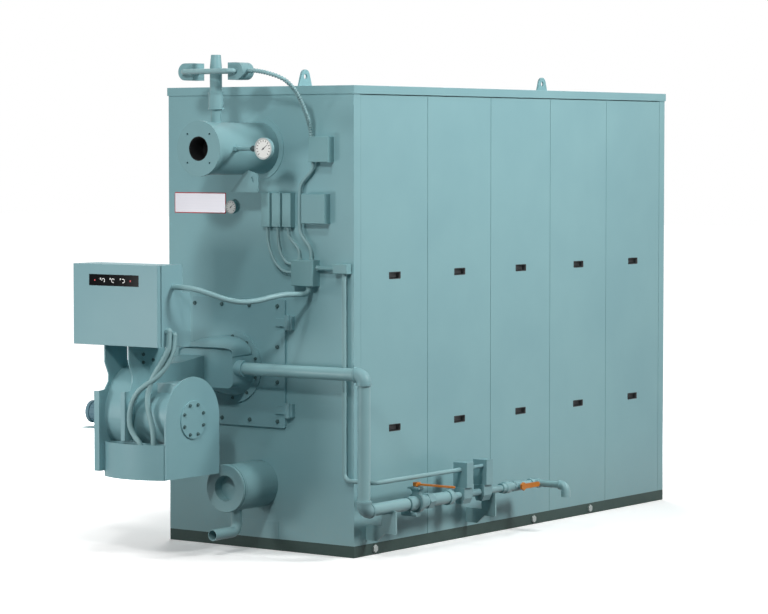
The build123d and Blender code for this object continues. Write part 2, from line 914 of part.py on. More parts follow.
def front_tray():
    """Open-topped tray with a bowed front, between the outer plate and the end plate."""
    left = fan_outer_x + fan_plate
    right = end_plate_x - burner_end_thickness

    def outline(inset):
        x0 = left + inset
        x1 = right - inset
        front = tray_front_y + inset
        back = tray_back_y - inset
        bow = ThreePointArc((x0, front), ((x0 + x1) / 2, front - tray_bulge), (x1, front))
        sides = Polyline((x1, front), (x1, back), (x0, back), (x0, front))
        return make_face(bow.edges() + sides.edges())

    tray = Pos(0, 0, tray_bottom) * extrude(outline(0), tray_top - tray_bottom)
    return tray - Pos(0, 0, tray_bottom + tray_wall) * extrude(outline(tray_wall), tray_top - tray_bottom)


def fan_motor():
    """Finned motor with a flange against the outer plate and a smooth end cap."""
    flange_end = fan_outer_x - motor_flange_thickness
    body_end = flange_end - motor_length + motor_cap_length
    motor = rod("x", motor_core_radius, body_end, flange_end, fan_y, fan_z)
    fin_length = motor_length - motor_cap_length - 24
    fin = Box(fin_length, 2 * (motor_radius - motor_core_radius), motor_fin_width)
    fin = Pos(0, motor_core_radius, 0) * fin
    middle = (body_end + flange_end) / 2
    for index in range(motor_fin_count):
        motor += Pos(middle, fan_y, fan_z) * Rot(index * 360 / motor_fin_count, 0, 0) * fin
    cap_end = body_end - motor_cap_length
    outline = [
        (0, cap_end),
        (motor_core_radius - 16, cap_end),
        (motor_radius, cap_end + 16),
        (motor_radius, body_end),
        (0, body_end),
    ]
    motor += turned("x", outline, fan_y, fan_z)
    motor += rod("x", motor_flange_radius, flange_end, fan_outer_x, fan_y, fan_z)
    return motor


def motor_shelf():
    """Bracket shelf under the motor with a triangular gusset and two feet."""
    top = fan_z - motor_flange_radius - motor_foot
    end = fan_outer_x - motor_flange_thickness - motor_length - shelf_overhang
    shelf = block(end, fan_outer_x, fan_y - shelf_width / 2, fan_y + shelf_width / 2, top - shelf_thickness, top)
    low = top - shelf_thickness
    gusset = [(fan_outer_x, low), (end + gusset_inset, low), (fan_outer_x, top - gusset_drop)]
    shelf += prism(Plane.XZ, gusset, -fan_y - gusset_thickness / 2, -fan_y + gusset_thickness / 2)
    for station in motor_foot_stations:
        x = fan_outer_x - motor_flange_thickness - station
        foot = block(x - motor_foot_width / 2, x + motor_foot_width / 2,
                     fan_y - motor_foot_depth / 2, fan_y + motor_foot_depth / 2, top, fan_z)
        seat = rod("x", motor_radius + motor_foot_clearance, x - motor_foot_width, x + motor_foot_width, fan_y, fan_z)
        shelf += foot - seat
    return shelf


# Control cabinet

def control_cabinet():
    """Open-fronted cabinet with a rolled front lip, studs for the mounting plate and hinge lugs."""
    body_front = cabinet_front_y + door_depth + door_groove
    body = block(cabinet_left, cabinet_right, body_front, cabinet_back_y, cabinet_bottom, cabinet_top)
    neck = block(cabinet_left + door_lip, cabinet_right - door_lip, cabinet_neck_y, body_front,
                 cabinet_bottom + door_lip, cabinet_top - door_lip)
    body += neck
    inner = door_lip + cabinet_wall
    body -= block(cabinet_left + inner, cabinet_right - inner, cabinet_neck_y - 1, body_front + cabinet_wall,
                  cabinet_bottom + inner, cabinet_top - inner)
    body -= block(cabinet_left + cabinet_wall, cabinet_right - cabinet_wall, body_front + cabinet_wall,
                  cabinet_back_y - cabinet_wall, cabinet_bottom + cabinet_wall, cabinet_top - cabinet_wall)
    inner_back = cabinet_back_y - cabinet_wall
    for x in (cabinet_left + mounting_plate_margin + 30, cabinet_right - mounting_plate_margin - 30):
        for z in (cabinet_bottom + mounting_plate_margin + 30, cabinet_top - mounting_plate_margin - 30):
            body += rod("y", mounting_stud_radius, inner_back - mounting_stud_length, inner_back, x, z)
    for level in door_hinge_levels:
        body += cabinet_hinge(level, body_front)
    return body


def cabinet_hinge(level, body_front):
    """Fixed knuckle, its pin and the arm that joins it to the cabinet's side."""
    x = cabinet_left - hinge_offset
    low = level - knuckle_length
    knuckle = rod("z", knuckle_radius, low, level, x, door_hinge_y)
    knuckle += rod("z", hinge_pin_radius, level, level + knuckle_length - 2, x, door_hinge_y)
    arm_x = x - knuckle_radius
    knuckle += block(arm_x, arm_x + 5, door_hinge_y, body_front + 20, low, level)
    knuckle += block(arm_x, cabinet_left, body_front + 8, body_front + 20, low, level)
    return knuckle


def cabinet_door():
    """Pan door with a recess for the display and two knuckles on its left edge."""
    rear = cabinet_front_y + door_depth
    door = block(cabinet_left, cabinet_right, cabinet_front_y, rear, cabinet_bottom, cabinet_top)
    door = fillet(door.faces().sort_by(Axis.Y)[0].edges(), 2)
    rim = cabinet_wall
    seat_y = cabinet_neck_y - door_gap
    door -= block(cabinet_left + rim, cabinet_right - rim, seat_y, rear + 1, cabinet_bottom + rim, cabinet_top - rim)
    frame = 2 * door_lip + cabinet_wall + 6
    door -= block(cabinet_left + frame, cabinet_right - frame, cabinet_front_y + 2 * cabinet_wall, rear,
                  cabinet_bottom + frame, cabinet_top - frame)
    door -= block(display_left, display_right, cabinet_front_y - 1, cabinet_front_y + display_thickness,
                  display_bottom, display_top)
    x = cabinet_left - hinge_offset
    for level in door_hinge_levels:
        low = level + hinge_pin_clearance
        high = low + knuckle_length
        knuckle = rod("z", knuckle_radius, low, high, x, door_hinge_y)
        knuckle += block(x, cabinet_left, door_hinge_y - 5, door_hinge_y - 1, low, high)
        door += knuckle
        door -= rod("z", hinge_pin_radius + hinge_pin_clearance, low - 1, high + 1, x, door_hinge_y)
    return door


def display_panel():
    """Dark display set flush into the door."""
    return block(display_left, display_right, cabinet_front_y + 0.5, cabinet_front_y + display_thickness,
                 display_bottom, display_top)


def cabinet_mounting_plate():
    """Inner plate on the four studs."""
    front = cabinet_back_y - cabinet_wall - mounting_stud_length
    margin = mounting_plate_margin
    return block(cabinet_left + margin, cabinet_right - margin, front - mounting_plate_thickness, front,
                 cabinet_bottom + margin, cabinet_top - margin)


def cabinet_back_box():
    """Smaller terminal box behind the cabinet."""
    return block(back_box_left, back_box_right, cabinet_back_y, cabinet_back_y + back_box_depth,
                 back_box_bottom, back_box_top)


def side_connector(y, z):
    """Angle connector that turns a conduit downwards from the cabinet's side."""
    x = cabinet_right + power_conduit_radius + 3
    nut = hexagon("x", 2.2 * power_conduit_radius, cabinet_right, x, y, z)
    return nut + Pos(x, y, z) * Sphere(power_conduit_radius + 1.5)


def burner_conduits():
    """Two conduits that leave the cabinet's right side and drop into the tray."""
    start_x = cabinet_right + power_conduit_radius + 3
    first = [
        (start_x, 759, 1312),
        (start_x, 765, 1210),
        (-74, 776, 1150),
        (-110, 788, 1092),
        (-148, 796, 1030),
        (-172, 801, 945),
        (-166, 804, 868),
        (-140, 807, 800),
        (-122, 809, 730),
        (-119, 809, tray_bottom + 90),
    ]
    second = [
        (start_x, 712, 1288),
        (start_x, 721, 1214),
        (-56, 738, 1154),
        (-80, 762, 1096),
        (-118, 788, 1046),
        (-168, 810, 1010),
        (-222, 826, 968),
        (-262, 832, 905),
        (-280, 834, 830),
        (-276, 832, 760),
        (-246, 828, 710),
        (-206, 826, 672),
        (-190, 825, tray_bottom + 110),
    ]
    conduits = []
    for route in (first, second):
        points = in_front(route)
        _, y, z = points[0]
        conduits.append(tube(points, power_conduit_radius) + side_connector(y, z))
    return group(*conduits)


def cabinet_conduit():
    """Sagging conduit from the cabinet's side up into the bottom of the central junction box."""
    box_low = central_box[2]
    route = [
        (cabinet_right, 705, 1559),
        (30, 705, 1559),
        (104, 684, 1548),
        (168, 642, 1522),
        (226, 582, 1492),
        (276, 508, 1475),
        (318, 420, 1480),
        (350, 328, 1500),
        (374, 228, box_low - 40),
        (388, 130, box_low - 44),
        (392, 70, box_low - 46),
        (392, 37, box_low - 28),
        (392, 37, box_low),
    ]
    return tube(in_front(route), power_conduit_radius)


# Gas train

def gas_front_pipe():
    """Level pipe in front of the boiler."""
    end = gas_x - gas_elbow_reach
    return rod("x", gas_radius, gas_pipe_start, end, gas_front_y, gas_front_z)


def gas_down_pipe():
    """Upright pipe outside the front right corner."""
    return rod("z", gas_radius, gas_z + gas_elbow_reach, gas_front_z - gas_elbow_reach, gas_x, gas_front_y)


def gas_elbows():
    """Two large screwed elbows."""
    upper = elbow((gas_x, gas_front_y, gas_front_z), (-1, 0, 0), (0, 0, -1),
                  gas_elbow_radius, gas_elbow_reach, gas_collar_radius)
    lower = elbow((gas_x, gas_front_y, gas_z), (0, 0, 1), (0, 1, 0),
                  gas_elbow_radius, gas_elbow_reach, gas_collar_radius)
    return group(upper, lower)


def gas_train_pipes():
    """Pipe runs between the valves: large bore, the reducer, then small bore with its union."""
    inlet = rod("y", gas_radius, gas_front_y + gas_elbow_reach, valve_inlet_y, gas_x, gas_z)
    reducer_end = reducer_start_y + reducer_collar_length
    first_valve = safety_valve_y[0] - safety_valve_length / 2
    reducer = turned("y", [
        (0, valve_outlet_y),
        (gas_radius, valve_outlet_y),
        (gas_radius, reducer_start_y),
        (gas_collar_radius, reducer_start_y),
        (gas_collar_radius, reducer_end - 10),
        (gas_radius, reducer_end),
        (small_gas_radius, reducer_end + reducer_length),
        (small_gas_radius, first_valve),
        (0, first_valve),
    ], gas_x, gas_z)
    second_valve = safety_valve_y[1] + safety_valve_length / 2
    nut_radius = small_collar_radius + union_nut_step
    union = turned("y", [
        (0, second_valve),
        (small_gas_radius, second_valve),
        (small_gas_radius, union_start_y),
        (small_collar_radius, union_start_y),
        (small_collar_radius, union_start_y + 30),
        (nut_radius, union_start_y + 36),
        (nut_radius, union_end_y - 42),
        (small_collar_radius, union_end_y - 36),
        (small_collar_radius, union_end_y),
        (0, union_end_y),
    ], gas_x, gas_z)
    valve_end = ball_valve_y + ball_valve_length / 2
    outlet = rod("y", small_gas_radius, valve_end, inlet_elbow_y - small_elbow_reach, gas_x, gas_z)
    return group(inlet, reducer, union, outlet)


def main_gas_valve():
    """Quarter-turn valve: disc body, neck and top flange, screwed unions, and a level stub hung below."""
    disc_front = valve_y - valve_disc_thickness / 2
    disc_back = valve_y + valve_disc_thickness / 2
    outline = [
        (0, valve_inlet_y),
        (gas_radius - 4, valve_inlet_y),
        (gas_radius - 4, valve_inlet_y + 8),
        (union_collar_radius, valve_inlet_y + 8),
        (union_collar_radius, disc_front - 12),
        (gas_radius, disc_front),
        (valve_disc_radius, disc_front),
        (valve_disc_radius, disc_back),
        (gas_radius + 4, disc_back + 14),
        (gas_radius + 4, valve_outlet_y),
        (0, valve_outlet_y),
    ]
    valve = turned("y", outline, gas_x, gas_z)
    valve += hexagon("y", union_flats, valve_outlet_y - 62, valve_outlet_y - 12, gas_x, gas_z)
    half = valve_flange_size / 2
    rise = valve_neck_top - gas_z
    neck = [(-20, 0), (20, 0), (20, rise - 20), (half, rise), (-half, rise), (-20, rise - 20)]
    neck_plane = Plane(origin=(gas_x, valve_y - 16, gas_z), x_dir=(1, 0, 0), z_dir=(0, -1, 0))
    valve += extrude(neck_plane * make_face(Polyline(*neck, close=True)), -32)
    valve += block(gas_x - half, gas_x + half, valve_y - half, valve_y + half,
                   valve_neck_top, valve_neck_top + valve_flange_thickness)
    valve += block(gas_x - 16, gas_x + 16, valve_y - 13, valve_y + 13, gas_z - valve_disc_radius - 18, gas_z - 20)
    top = valve_neck_top + valve_flange_thickness
    valve -= rod("z", stem_radius + stem_clearance, top - stem_depth - stem_clearance, top + 1, gas_x, valve_y)
    valve += rod("x", trap_bar_radius, gas_x - trap_bar_length / 2, gas_x + trap_bar_length / 2, trap_y, trap_bar_z)
    valve += rod("z", trap_stem_radius, trap_bar_z, gas_z, gas_x, trap_y)
    return valve


def main_valve_lever():
    """Quarter-turn lever with its stem, hub and round-ended arm."""
    flange_top = valve_neck_top + valve_flange_thickness
    hub_low = flange_top + lever_gap
    lever = rod("z", stem_radius, flange_top - stem_depth, hub_low + lever_hub_height, gas_x, valve_y)
    lever += hexagon("z", 2 * lever_hub_radius, hub_low, hub_low + lever_hub_height, gas_x, valve_y)
    arm_low = hub_low + 4
    arm_end = gas_x + main_lever_length - main_lever_width / 2
    lever += block(gas_x, arm_end, valve_y - main_lever_width / 2, valve_y + main_lever_width / 2,
                   arm_low, arm_low + main_lever_thickness)
    lever += rod("z", main_lever_width / 2, arm_low, arm_low + main_lever_thickness, arm_end, valve_y)
    return lever


def safety_valves():
    """Two cast valve bodies with tapered undersides and a nipple between them."""
    half_width = safety_valve_width / 2
    seat = safety_valve_seat
    profile = [
        (-half_width, seat),
        (half_width, seat),
        (half_width, -18),
        (20, -safety_valve_drop),
        (-20, -safety_valve_drop),
        (-half_width, -18),
    ]
    bodies = []
    for station in safety_valve_y:
        start = station - safety_valve_length / 2
        plane = Plane(origin=(gas_x, start, gas_z), x_dir=(1, 0, 0), z_dir=(0, -1, 0))
        body = extrude(plane * make_face(Polyline(*profile, close=True)), -safety_valve_length)
        bodies.append(body)
    nipple = rod("y", small_gas_radius, safety_valve_y[0] + safety_valve_length / 2,
                 safety_valve_y[1] - safety_valve_length / 2, gas_x, gas_z)
    return group(bodies[0] + nipple + bodies[1])


def valve_actuators():
    """Actuator boxes on the two valve bodies, linked by a short nipple."""
    half_width = actuator_width / 2
    boxes = None
    top = actuator_bottom + actuator_height
    for station in safety_valve_y:
        box = block(gas_x - half_width, gas_x + half_width,
                    station - actuator_depth / 2, station + actuator_depth / 2, actuator_bottom, top)
        box = fillet(box.edges().filter_by(Axis.Z), 3)
        boxes = box if boxes is None else boxes + box
    link = rod("y", 11, safety_valve_y[0] + actuator_depth / 2, safety_valve_y[1] - actuator_depth / 2,
               gas_x + 18, top - 36)
    return boxes + link


def inlet_ball_valve():
    """Ball valve body with hexagonal ends and a side boss for the stem."""
    start = union_end_y
    end = ball_valve_y + ball_valve_length / 2
    valve = rod("y", ball_valve_radius, start + 14, end - 14, gas_x, gas_z)
    valve += hexagon("y", 2 * small_collar_radius, start, start + 14, gas_x, gas_z)
    valve += hexagon("y", 2 * small_collar_radius, end - 14, end, gas_x, gas_z)
    valve += rod("x", ball_boss_radius, gas_x, gas_x + ball_boss_reach, ball_valve_y, gas_z)
    boss_end = gas_x + ball_boss_reach
    valve -= rod("x", stem_radius + stem_clearance, boss_end - stem_depth - stem_clearance, boss_end + 1,
                 ball_valve_y, gas_z)
    return valve


def inlet_valve_lever():
    """Lever of the ball valve, lying along the pipe when open."""
    boss_end = gas_x + ball_boss_reach
    hub = boss_end + lever_gap
    lever = rod("x", stem_radius, boss_end - stem_depth, hub + 14, ball_valve_y, gas_z)
    lever += hexagon("x", 2 * lever_hub_radius, hub, hub + 14, ball_valve_y, gas_z)
    arm_end = ball_valve_y + inlet_lever_length - inlet_lever_width / 2
    arm = block(hub + 3, hub + 3 + inlet_lever_thickness, ball_valve_y, arm_end,
                gas_z - inlet_lever_width / 2, gas_z + inlet_lever_width / 2)
    arm += rod("x", inlet_lever_width / 2, hub + 3, hub + 3 + inlet_lever_thickness, arm_end, gas_z)
    return lever + arm


def gas_inlet():
    """Elbow, short run and turned-down open elbow where the supply is joined."""
    turn = elbow((gas_x, inlet_elbow_y, gas_z), (0, -1, 0), (1, 0, 0),
                 small_elbow_radius, small_elbow_reach, small_collar_radius)
    end_x = gas_x + inlet_run
    run = rod("x", small_gas_radius, gas_x + small_elbow_reach, end_x - small_elbow_reach, inlet_elbow_y, gas_z)
    drop = elbow((end_x, inlet_elbow_y, gas_z), (-1, 0, 0), (0, 0, -1),
                 small_elbow_radius, small_elbow_reach, small_collar_radius)
    drop += rod("z", small_collar_radius, gas_z - inlet_drop, gas_z - small_elbow_reach, end_x, inlet_elbow_y)
    mouth = rod("z", small_gas_radius, gas_z - inlet_drop - 1, gas_z - small_elbow_reach + 10, end_x, inlet_elbow_y)
    return turn + run + drop - mouth


def pipe_brackets():
    """Stepped plate brackets from the casing side to the underside of the gas train."""
    brackets = []
    for station, radius in zip(bracket_y, (gas_radius, small_gas_radius)):
        left = side_x
        post = side_x + bracket_post_left
        corners = [
            (left, bracket_foot_bottom),
            (left + bracket_foot_reach, bracket_foot_bottom),
            (post + 20, bracket_post_bottom),
            (post + bracket_post_width, bracket_post_bottom),
            (post + bracket_post_width, gas_z),
            (post, gas_z),
            (post, bracket_foot_top),
            (left, bracket_foot_top),
        ]
        bracket = prism(Plane.XZ, corners, -station - bracket_thickness / 2, -station + bracket_thickness / 2)
        bracket -= block(left - 1, 2 * left, station - 50, station + 50, gas_z - radius * 0.6, gas_z + 1)
        bracket -= rod("y", radius, station - 50, station + 50, gas_x, gas_z)
        brackets.append(bracket)
    return group(*brackets)


# Lower drum

def lower_drum():
    """Lower drum end with a double-grooved rim and a blind recess."""
    face = front_y - lower_drum_reach
    groove = 5
    back_of_plate = face + lower_plate_thickness
    outline = [
        (return_bore_radius, face),
        (lower_plate_radius - 4, face),
        (lower_plate_radius, face + 4),
        (lower_plate_radius, face + 12),
        (lower_plate_radius - groove, face + 14),
        (lower_plate_radius - groove, face + 18),
        (lower_plate_radius, face + 20),
        (lower_plate_radius, back_of_plate),
        (lower_drum_radius - groove, back_of_plate + 2),
        (lower_drum_radius - groove, back_of_plate + 6),
        (lower_drum_radius, back_of_plate + 8),
        (lower_drum_radius, core_front_y),
        (0, core_front_y),
        (0, face + return_bore_depth),
        (return_bore_radius, face + return_bore_depth),
    ]
    return turned("y", outline, 0, lower_drum_z)


def drain_pipe():
    """Drain under the lower drum, turned to the front with an open end."""
    end_y = drain_y - drain_reach
    points = [(0, drain_y, lower_drum_z), (0, drain_y, drain_z), (0, end_y, drain_z)]
    pipe = tube(points, drain_radius, [drain_bend_radius])
    pipe -= rod("y", lower_drum_radius, drain_y - 60, drain_y + 60, 0, lower_drum_z)
    pipe = pipe.solids().sort_by(Axis.Z)[0]
    return pipe - rod("y", drain_radius - drain_wall, end_y - 1, drain_y - drain_bend_radius - 20, 0, drain_z)


pieces = {
    "base_frame": base_frame(),
    "boiler_core": boiler_core(),
    "front_wall": front_wall(),
    "rear_wall": rear_wall(),
    "left_side_panels": side_panels(-1),
    "right_side_panels": side_panels(1),
    "corner_strips": corner_strips(),
    "roof_cap": roof_cap(),
    "lifting_lugs": lifting_lugs(),
    "flue_collar": flue_collar(),
    "upper_drum": upper_drum(),
    "riser_fitting": riser_fitting(),
    "switch_heads": group(switch_head(-1), switch_head(1)),
    "switch_link_conduit": switch_link(),
    "thermometer": thermometer(),
    "drum_bracket": drum_bracket(),
    "pressure_gauge": pressure_gauge(),
    "junction_boxes": junction_boxes(),
    "relay_boxes": relay_boxes(),
    "relay_conduits": relay_conduits(),
    "switch_conduit": switch_conduit(),
    "conduit_elbow_body": elbow_body(),
    "gas_train_conduit": gas_train_conduit(),
    "burner_mounting_plate": burner_mounting_plate(),
    "plate_hinges": plate_hinges(),
    "windbox": windbox(),
    "air_duct": air_duct(),
    "fan_scroll": fan_scroll(),
    "fan_side_plates": fan_side_plates(),
    "inlet_casing": inlet_casing(),
    "burner_end_plate": burner_end_plate(),
    "inlet_cover": inlet_cover(),
    "front_tray": front_tray(),
    "fan_motor": fan_motor(),
    "motor_shelf": motor_shelf(),
    "control_cabinet": control_cabinet(),
    "cabinet_door": cabinet_door(),
    "display_panel": display_panel(),
    "cabinet_mounting_plate": cabinet_mounting_plate(),
    "cabinet_back_box": cabinet_back_box(),
    "burner_conduits": burner_conduits(),
    "cabinet_conduit": cabinet_conduit(),
    "gas_front_pipe": gas_front_pipe(),
    "gas_down_pipe": gas_down_pipe(),
    "gas_elbows": gas_elbows(),
    "gas_train_pipes": gas_train_pipes(),
    "main_gas_valve": main_gas_valve(),
    "main_gas_valve_lever": main_valve_lever(),
    "safety_valves": safety_valves(),
    "valve_actuators": valve_actuators(),
    "inlet_ball_valve": inlet_ball_valve(),
    "inlet_valve_lever": inlet_valve_lever(),
    "gas_inlet": gas_inlet(),
    "pipe_brackets": pipe_brackets(),
    "lower_drum": lower_drum(),
    "drain_pipe": drain_pipe(),
}

for name, piece in pieces.items():
    export_step(piece, f"parts/{name}.step")
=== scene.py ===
import math

import bmesh
import bpy
import numpy as np
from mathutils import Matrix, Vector


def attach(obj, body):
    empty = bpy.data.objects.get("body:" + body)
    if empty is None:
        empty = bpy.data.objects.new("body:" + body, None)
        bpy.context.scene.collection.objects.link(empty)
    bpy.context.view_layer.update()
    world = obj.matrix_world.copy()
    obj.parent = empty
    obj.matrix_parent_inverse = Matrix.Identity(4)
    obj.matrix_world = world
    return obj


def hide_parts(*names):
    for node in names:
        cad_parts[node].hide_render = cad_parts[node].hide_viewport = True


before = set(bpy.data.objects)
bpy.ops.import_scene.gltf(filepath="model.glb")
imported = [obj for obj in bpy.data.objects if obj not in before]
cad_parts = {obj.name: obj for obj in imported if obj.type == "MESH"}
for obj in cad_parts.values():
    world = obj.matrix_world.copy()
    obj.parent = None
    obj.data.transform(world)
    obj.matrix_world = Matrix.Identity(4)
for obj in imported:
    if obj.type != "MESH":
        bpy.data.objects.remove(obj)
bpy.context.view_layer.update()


# Studio. A pale floor that runs out into a white surround, two small lamps in front, one above the
# other, whose shadows overlap on the wall, a broad one from the left for the burner's front, one
# high on the right for the panelled side and one behind for the sides that the photograph hides.

def linear(colour):
    """sRGB hex to linear RGBA: c/12.92 below 0.04045, else ((c + 0.055)/1.055) to the power 2.4."""
    parts = [int(colour[i:i + 2], 16) / 255 for i in (1, 3, 5)]
    return [c / 12.92 if c <= 0.04045 else ((c + 0.055) / 1.055) ** 2.4 for c in parts] + [1.0]


def add(tree, kind, inputs=None, **settings):
    """Adds one node with its settings; inputs maps a socket to a value or to the socket that feeds it."""
    made = tree.nodes.new("ShaderNode" + kind)
    for name, value in settings.items():
        setattr(made, name, value)
    for name, value in (inputs or {}).items():
        if isinstance(value, bpy.types.NodeSocket):
            tree.links.new(value, made.inputs[name])
        else:
            made.inputs[name].default_value = value
    return made


def new_material(name):
    """A material and its node tree, emptied."""
    material = bpy.data.materials.new(name)
    material.use_nodes = True
    material.node_tree.nodes.clear()
    return material, material.node_tree


def seen_share(tree):
    """1 for a ray that shows a surface, directly, mirrored or through glass, and 0 for one that only lights."""
    kind = add(tree, "LightPath").outputs
    seen = add(tree, "Math", {0: kind["Is Camera Ray"], 1: kind["Is Glossy Ray"]}, operation="MAXIMUM")
    seen = add(tree, "Math", {0: seen.outputs[0], 1: kind["Is Transmission Ray"]}, operation="MAXIMUM")
    return seen.outputs[0]


def aimed(name, data, location, direction):
    """Links a camera or a lamp at a place, looking along the direction."""
    made = bpy.data.objects.new(name, data)
    made.location = location
    made.rotation_mode = "QUATERNION"
    made.rotation_quaternion = Vector(direction).to_track_quat("-Z", "Y")
    bpy.context.scene.collection.objects.link(made)
    return made


camera_data = bpy.data.cameras.new("camera")
camera_data.sensor_width = 36
camera_data.lens = 136.06
camera_data.clip_end = 200
camera_turn = math.radians(36.171)
camera_pitch = math.radians(3.162)
forward = (-math.sin(camera_turn) * math.cos(camera_pitch), math.cos(camera_turn) * math.cos(camera_pitch),
           -math.sin(camera_pitch))
bpy.context.scene.camera = aimed("camera", camera_data, (10.5624, -14.9365, 2.3512), forward)
bpy.context.scene.view_settings.view_transform = "Standard"

# The back lamp stays out of reflections, because its gloss would whiten the roof.
for lamp_name, place, target, power, width in (
    ("front_lamp", (2.10, -6.60, 4.60), (0.0, -2.0, 1.9), 108, 0.50),
    ("high_front_lamp", (1.40, -4.40, 5.40), (0.0, -1.9, 1.6), 42, 0.40),
    ("left_lamp", (-1.90, -5.20, 1.10), (-0.3, -2.5, 0.8), 38, 0.90),
    ("side_lamp", (6.40, 0.20, 5.40), (0.7, 0.1, 1.5), 425, 1.8),
    ("back_lamp", (-4.90, 5.60, 4.90), (-0.3, 0.6, 1.2), 430, 3.0),
):
    lamp = bpy.data.lights.new(lamp_name, "AREA")
    lamp.shape = "SQUARE"
    lamp.size = width
    lamp.energy = power
    lamp_object = aimed(lamp_name, lamp, place, Vector(target) - Vector(place))
    lamp_object.visible_glossy = lamp_name != "back_lamp"
overhead = bpy.data.lights.new("overhead_lamp", "SUN")
overhead.energy = 0.30
overhead.angle = math.radians(60)
aimed("overhead_lamp", overhead, (0, 0, 0), (0.25, 0.3, -0.92))

world = bpy.data.worlds.new("white_studio")
bpy.context.scene.world = world
world.use_nodes = True
tree = world.node_tree
tree.nodes.clear()
level = add(tree, "MapRange", {"Value": seen_share(tree), "To Min": 0.10, "To Max": 1.0})
sky = add(tree, "Background", {"Color": linear("#FFFFFF"), "Strength": level.outputs[0]})
add(tree, "OutputWorld", {"Surface": sky.outputs[0]})

# Away from the boiler the floor glows more and more, so that it meets the white surround unseen; the
# glow lights nothing.
floor_reach, floor_level = 60, -0.001
floor_mesh = bpy.data.meshes.new("studio_floor")
floor_mesh.from_pydata([(x * floor_reach, y * floor_reach, floor_level)
                        for x, y in ((-1, -1), (1, -1), (1, 1), (-1, 1))], [], [(0, 1, 2, 3)])
floor = bpy.data.objects.new("studio_floor", floor_mesh)
bpy.context.scene.collection.objects.link(floor)
floor_paint, tree = new_material("pale_studio_floor")
seen = seen_share(tree)
place = add(tree, "TexCoord").outputs["Object"]
narrowed = add(tree, "VectorMath", {0: place, 1: (1.6, 0.9, 0.0)}, operation="MULTIPLY")
away = add(tree, "VectorMath", {0: narrowed.outputs["Vector"]}, operation="LENGTH")
fade = add(tree, "MapRange", {"Value": away.outputs["Value"], "From Min": 2.0, "From Max": 4.0,
                              "To Min": 0.24, "To Max": 1.0}, interpolation_type="SMOOTHSTEP")
lift = add(tree, "Math", {0: seen, 1: fade.outputs[0]}, operation="MULTIPLY")
glow = add(tree, "Emission", {"Color": linear("#FFFFFF"), "Strength": lift.outputs[0]})
tone = add(tree, "Mix", {0: seen, 6: linear("#55565A"), 7: linear("#F4F4F3")}, data_type="RGBA")
matt = add(tree, "BsdfDiffuse", {"Color": tone.outputs[2]})
both = add(tree, "AddShader", {0: matt.outputs[0], 1: glow.outputs[0]})
add(tree, "OutputMaterial", {"Surface": both.outputs[0]})
floor_mesh.materials.append(floor_paint)


# Base frame. A welded channel skid under the casing, brush-painted in a darker shade of the
# casing's green, with hexagonal zinc plugs screwed into its side bands.

def enamel(name, colour, shade, rough, peel_mm=7, dust="#A9B4AE"):
    """Sprayed enamel, dull steel, and the painted shade in a bore and in grooves, all drifting between two
    close shades.

    Fine orange peel breaks the shine, and floor dust lies over the lowest half metre. The peel is really
    about 2 mm across and is drawn at 7 mm, because finer grain is lost in the render.
    """
    material, tree = new_material(name)
    place = add(tree, "TexCoord").outputs["Object"]
    drift = add(tree, "TexNoise", {"Vector": place, "Scale": 1 / 0.45, "Detail": 3.0})
    drift_share = add(tree, "MapRange", {"Value": drift.outputs["Fac"], "From Min": 0.35, "From Max": 0.65})
    paint = add(tree, "Mix", {0: drift_share.outputs[0], 6: linear(colour), 7: linear(shade)},
                data_type="RGBA")
    speckle = add(tree, "TexNoise", {"Vector": place, "Scale": 1 / 0.03, "Detail": 4.0})
    height = add(tree, "SeparateXYZ", {0: place})
    low = add(tree, "MapRange", {"Value": height.outputs["Z"], "From Min": 0.0, "From Max": 0.5,
                                 "To Min": 0.32, "To Max": 0.0})
    dusty = add(tree, "Math", {0: low.outputs[0], 1: speckle.outputs["Fac"]}, operation="MULTIPLY")
    covered = add(tree, "Mix", {0: dusty.outputs[0], 6: paint.outputs[2], 7: linear(dust)}, data_type="RGBA")
    gloss = add(tree, "MapRange", {"Value": speckle.outputs["Fac"], "To Min": rough - 0.06,
                                   "To Max": rough + 0.06})
    peel = add(tree, "TexNoise", {"Vector": place, "Scale": 1000 / peel_mm, "Detail": 2.0})
    relief = add(tree, "Bump", {"Height": peel.outputs["Fac"], "Strength": 0.12, "Distance": 0.0006})
    surface = add(tree, "BsdfPrincipled", {
        "Base Color": covered.outputs[2], "Roughness": gloss.outputs[0], "Normal": relief.outputs[0],
        "IOR": 1.5, "Specular IOR Level": 0.26})
    add(tree, "OutputMaterial", {"Surface": surface.outputs[0]})
    return material


def cover(material, *nodes):
    """Gives CAD nodes a finish on every slot."""
    for name in nodes:
        for material_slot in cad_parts[name].material_slots:
            material_slot.material = material


def mesh_piece(name, points, faces, material, smooth_angle=35, body="boiler", slot="teal_paint"):
    """Puts points and faces into a mesh, merges what coincides, and rides it on a body."""
    mesh = bpy.data.meshes.new(name)
    mesh.from_pydata(np.asarray(points, float).reshape(-1, 3).tolist(), [],
                     [list(map(int, face)) for face in faces])
    shell = bmesh.new()
    shell.from_mesh(mesh)
    bmesh.ops.remove_doubles(shell, verts=shell.verts, dist=1e-6)
    bmesh.ops.dissolve_degenerate(shell, edges=shell.edges, dist=1e-7)
    bmesh.ops.recalc_face_normals(shell, faces=shell.faces)
    shell.to_mesh(mesh)
    shell.free()
    mesh.polygons.foreach_set("use_smooth", np.ones(len(mesh.polygons), bool))
    mesh.set_sharp_from_angle(angle=math.radians(smooth_angle))
    mesh.materials.append(material)
    piece = bpy.data.objects.new(name, mesh)
    bpy.context.scene.collection.objects.link(piece)
    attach(piece, body)
    return piece


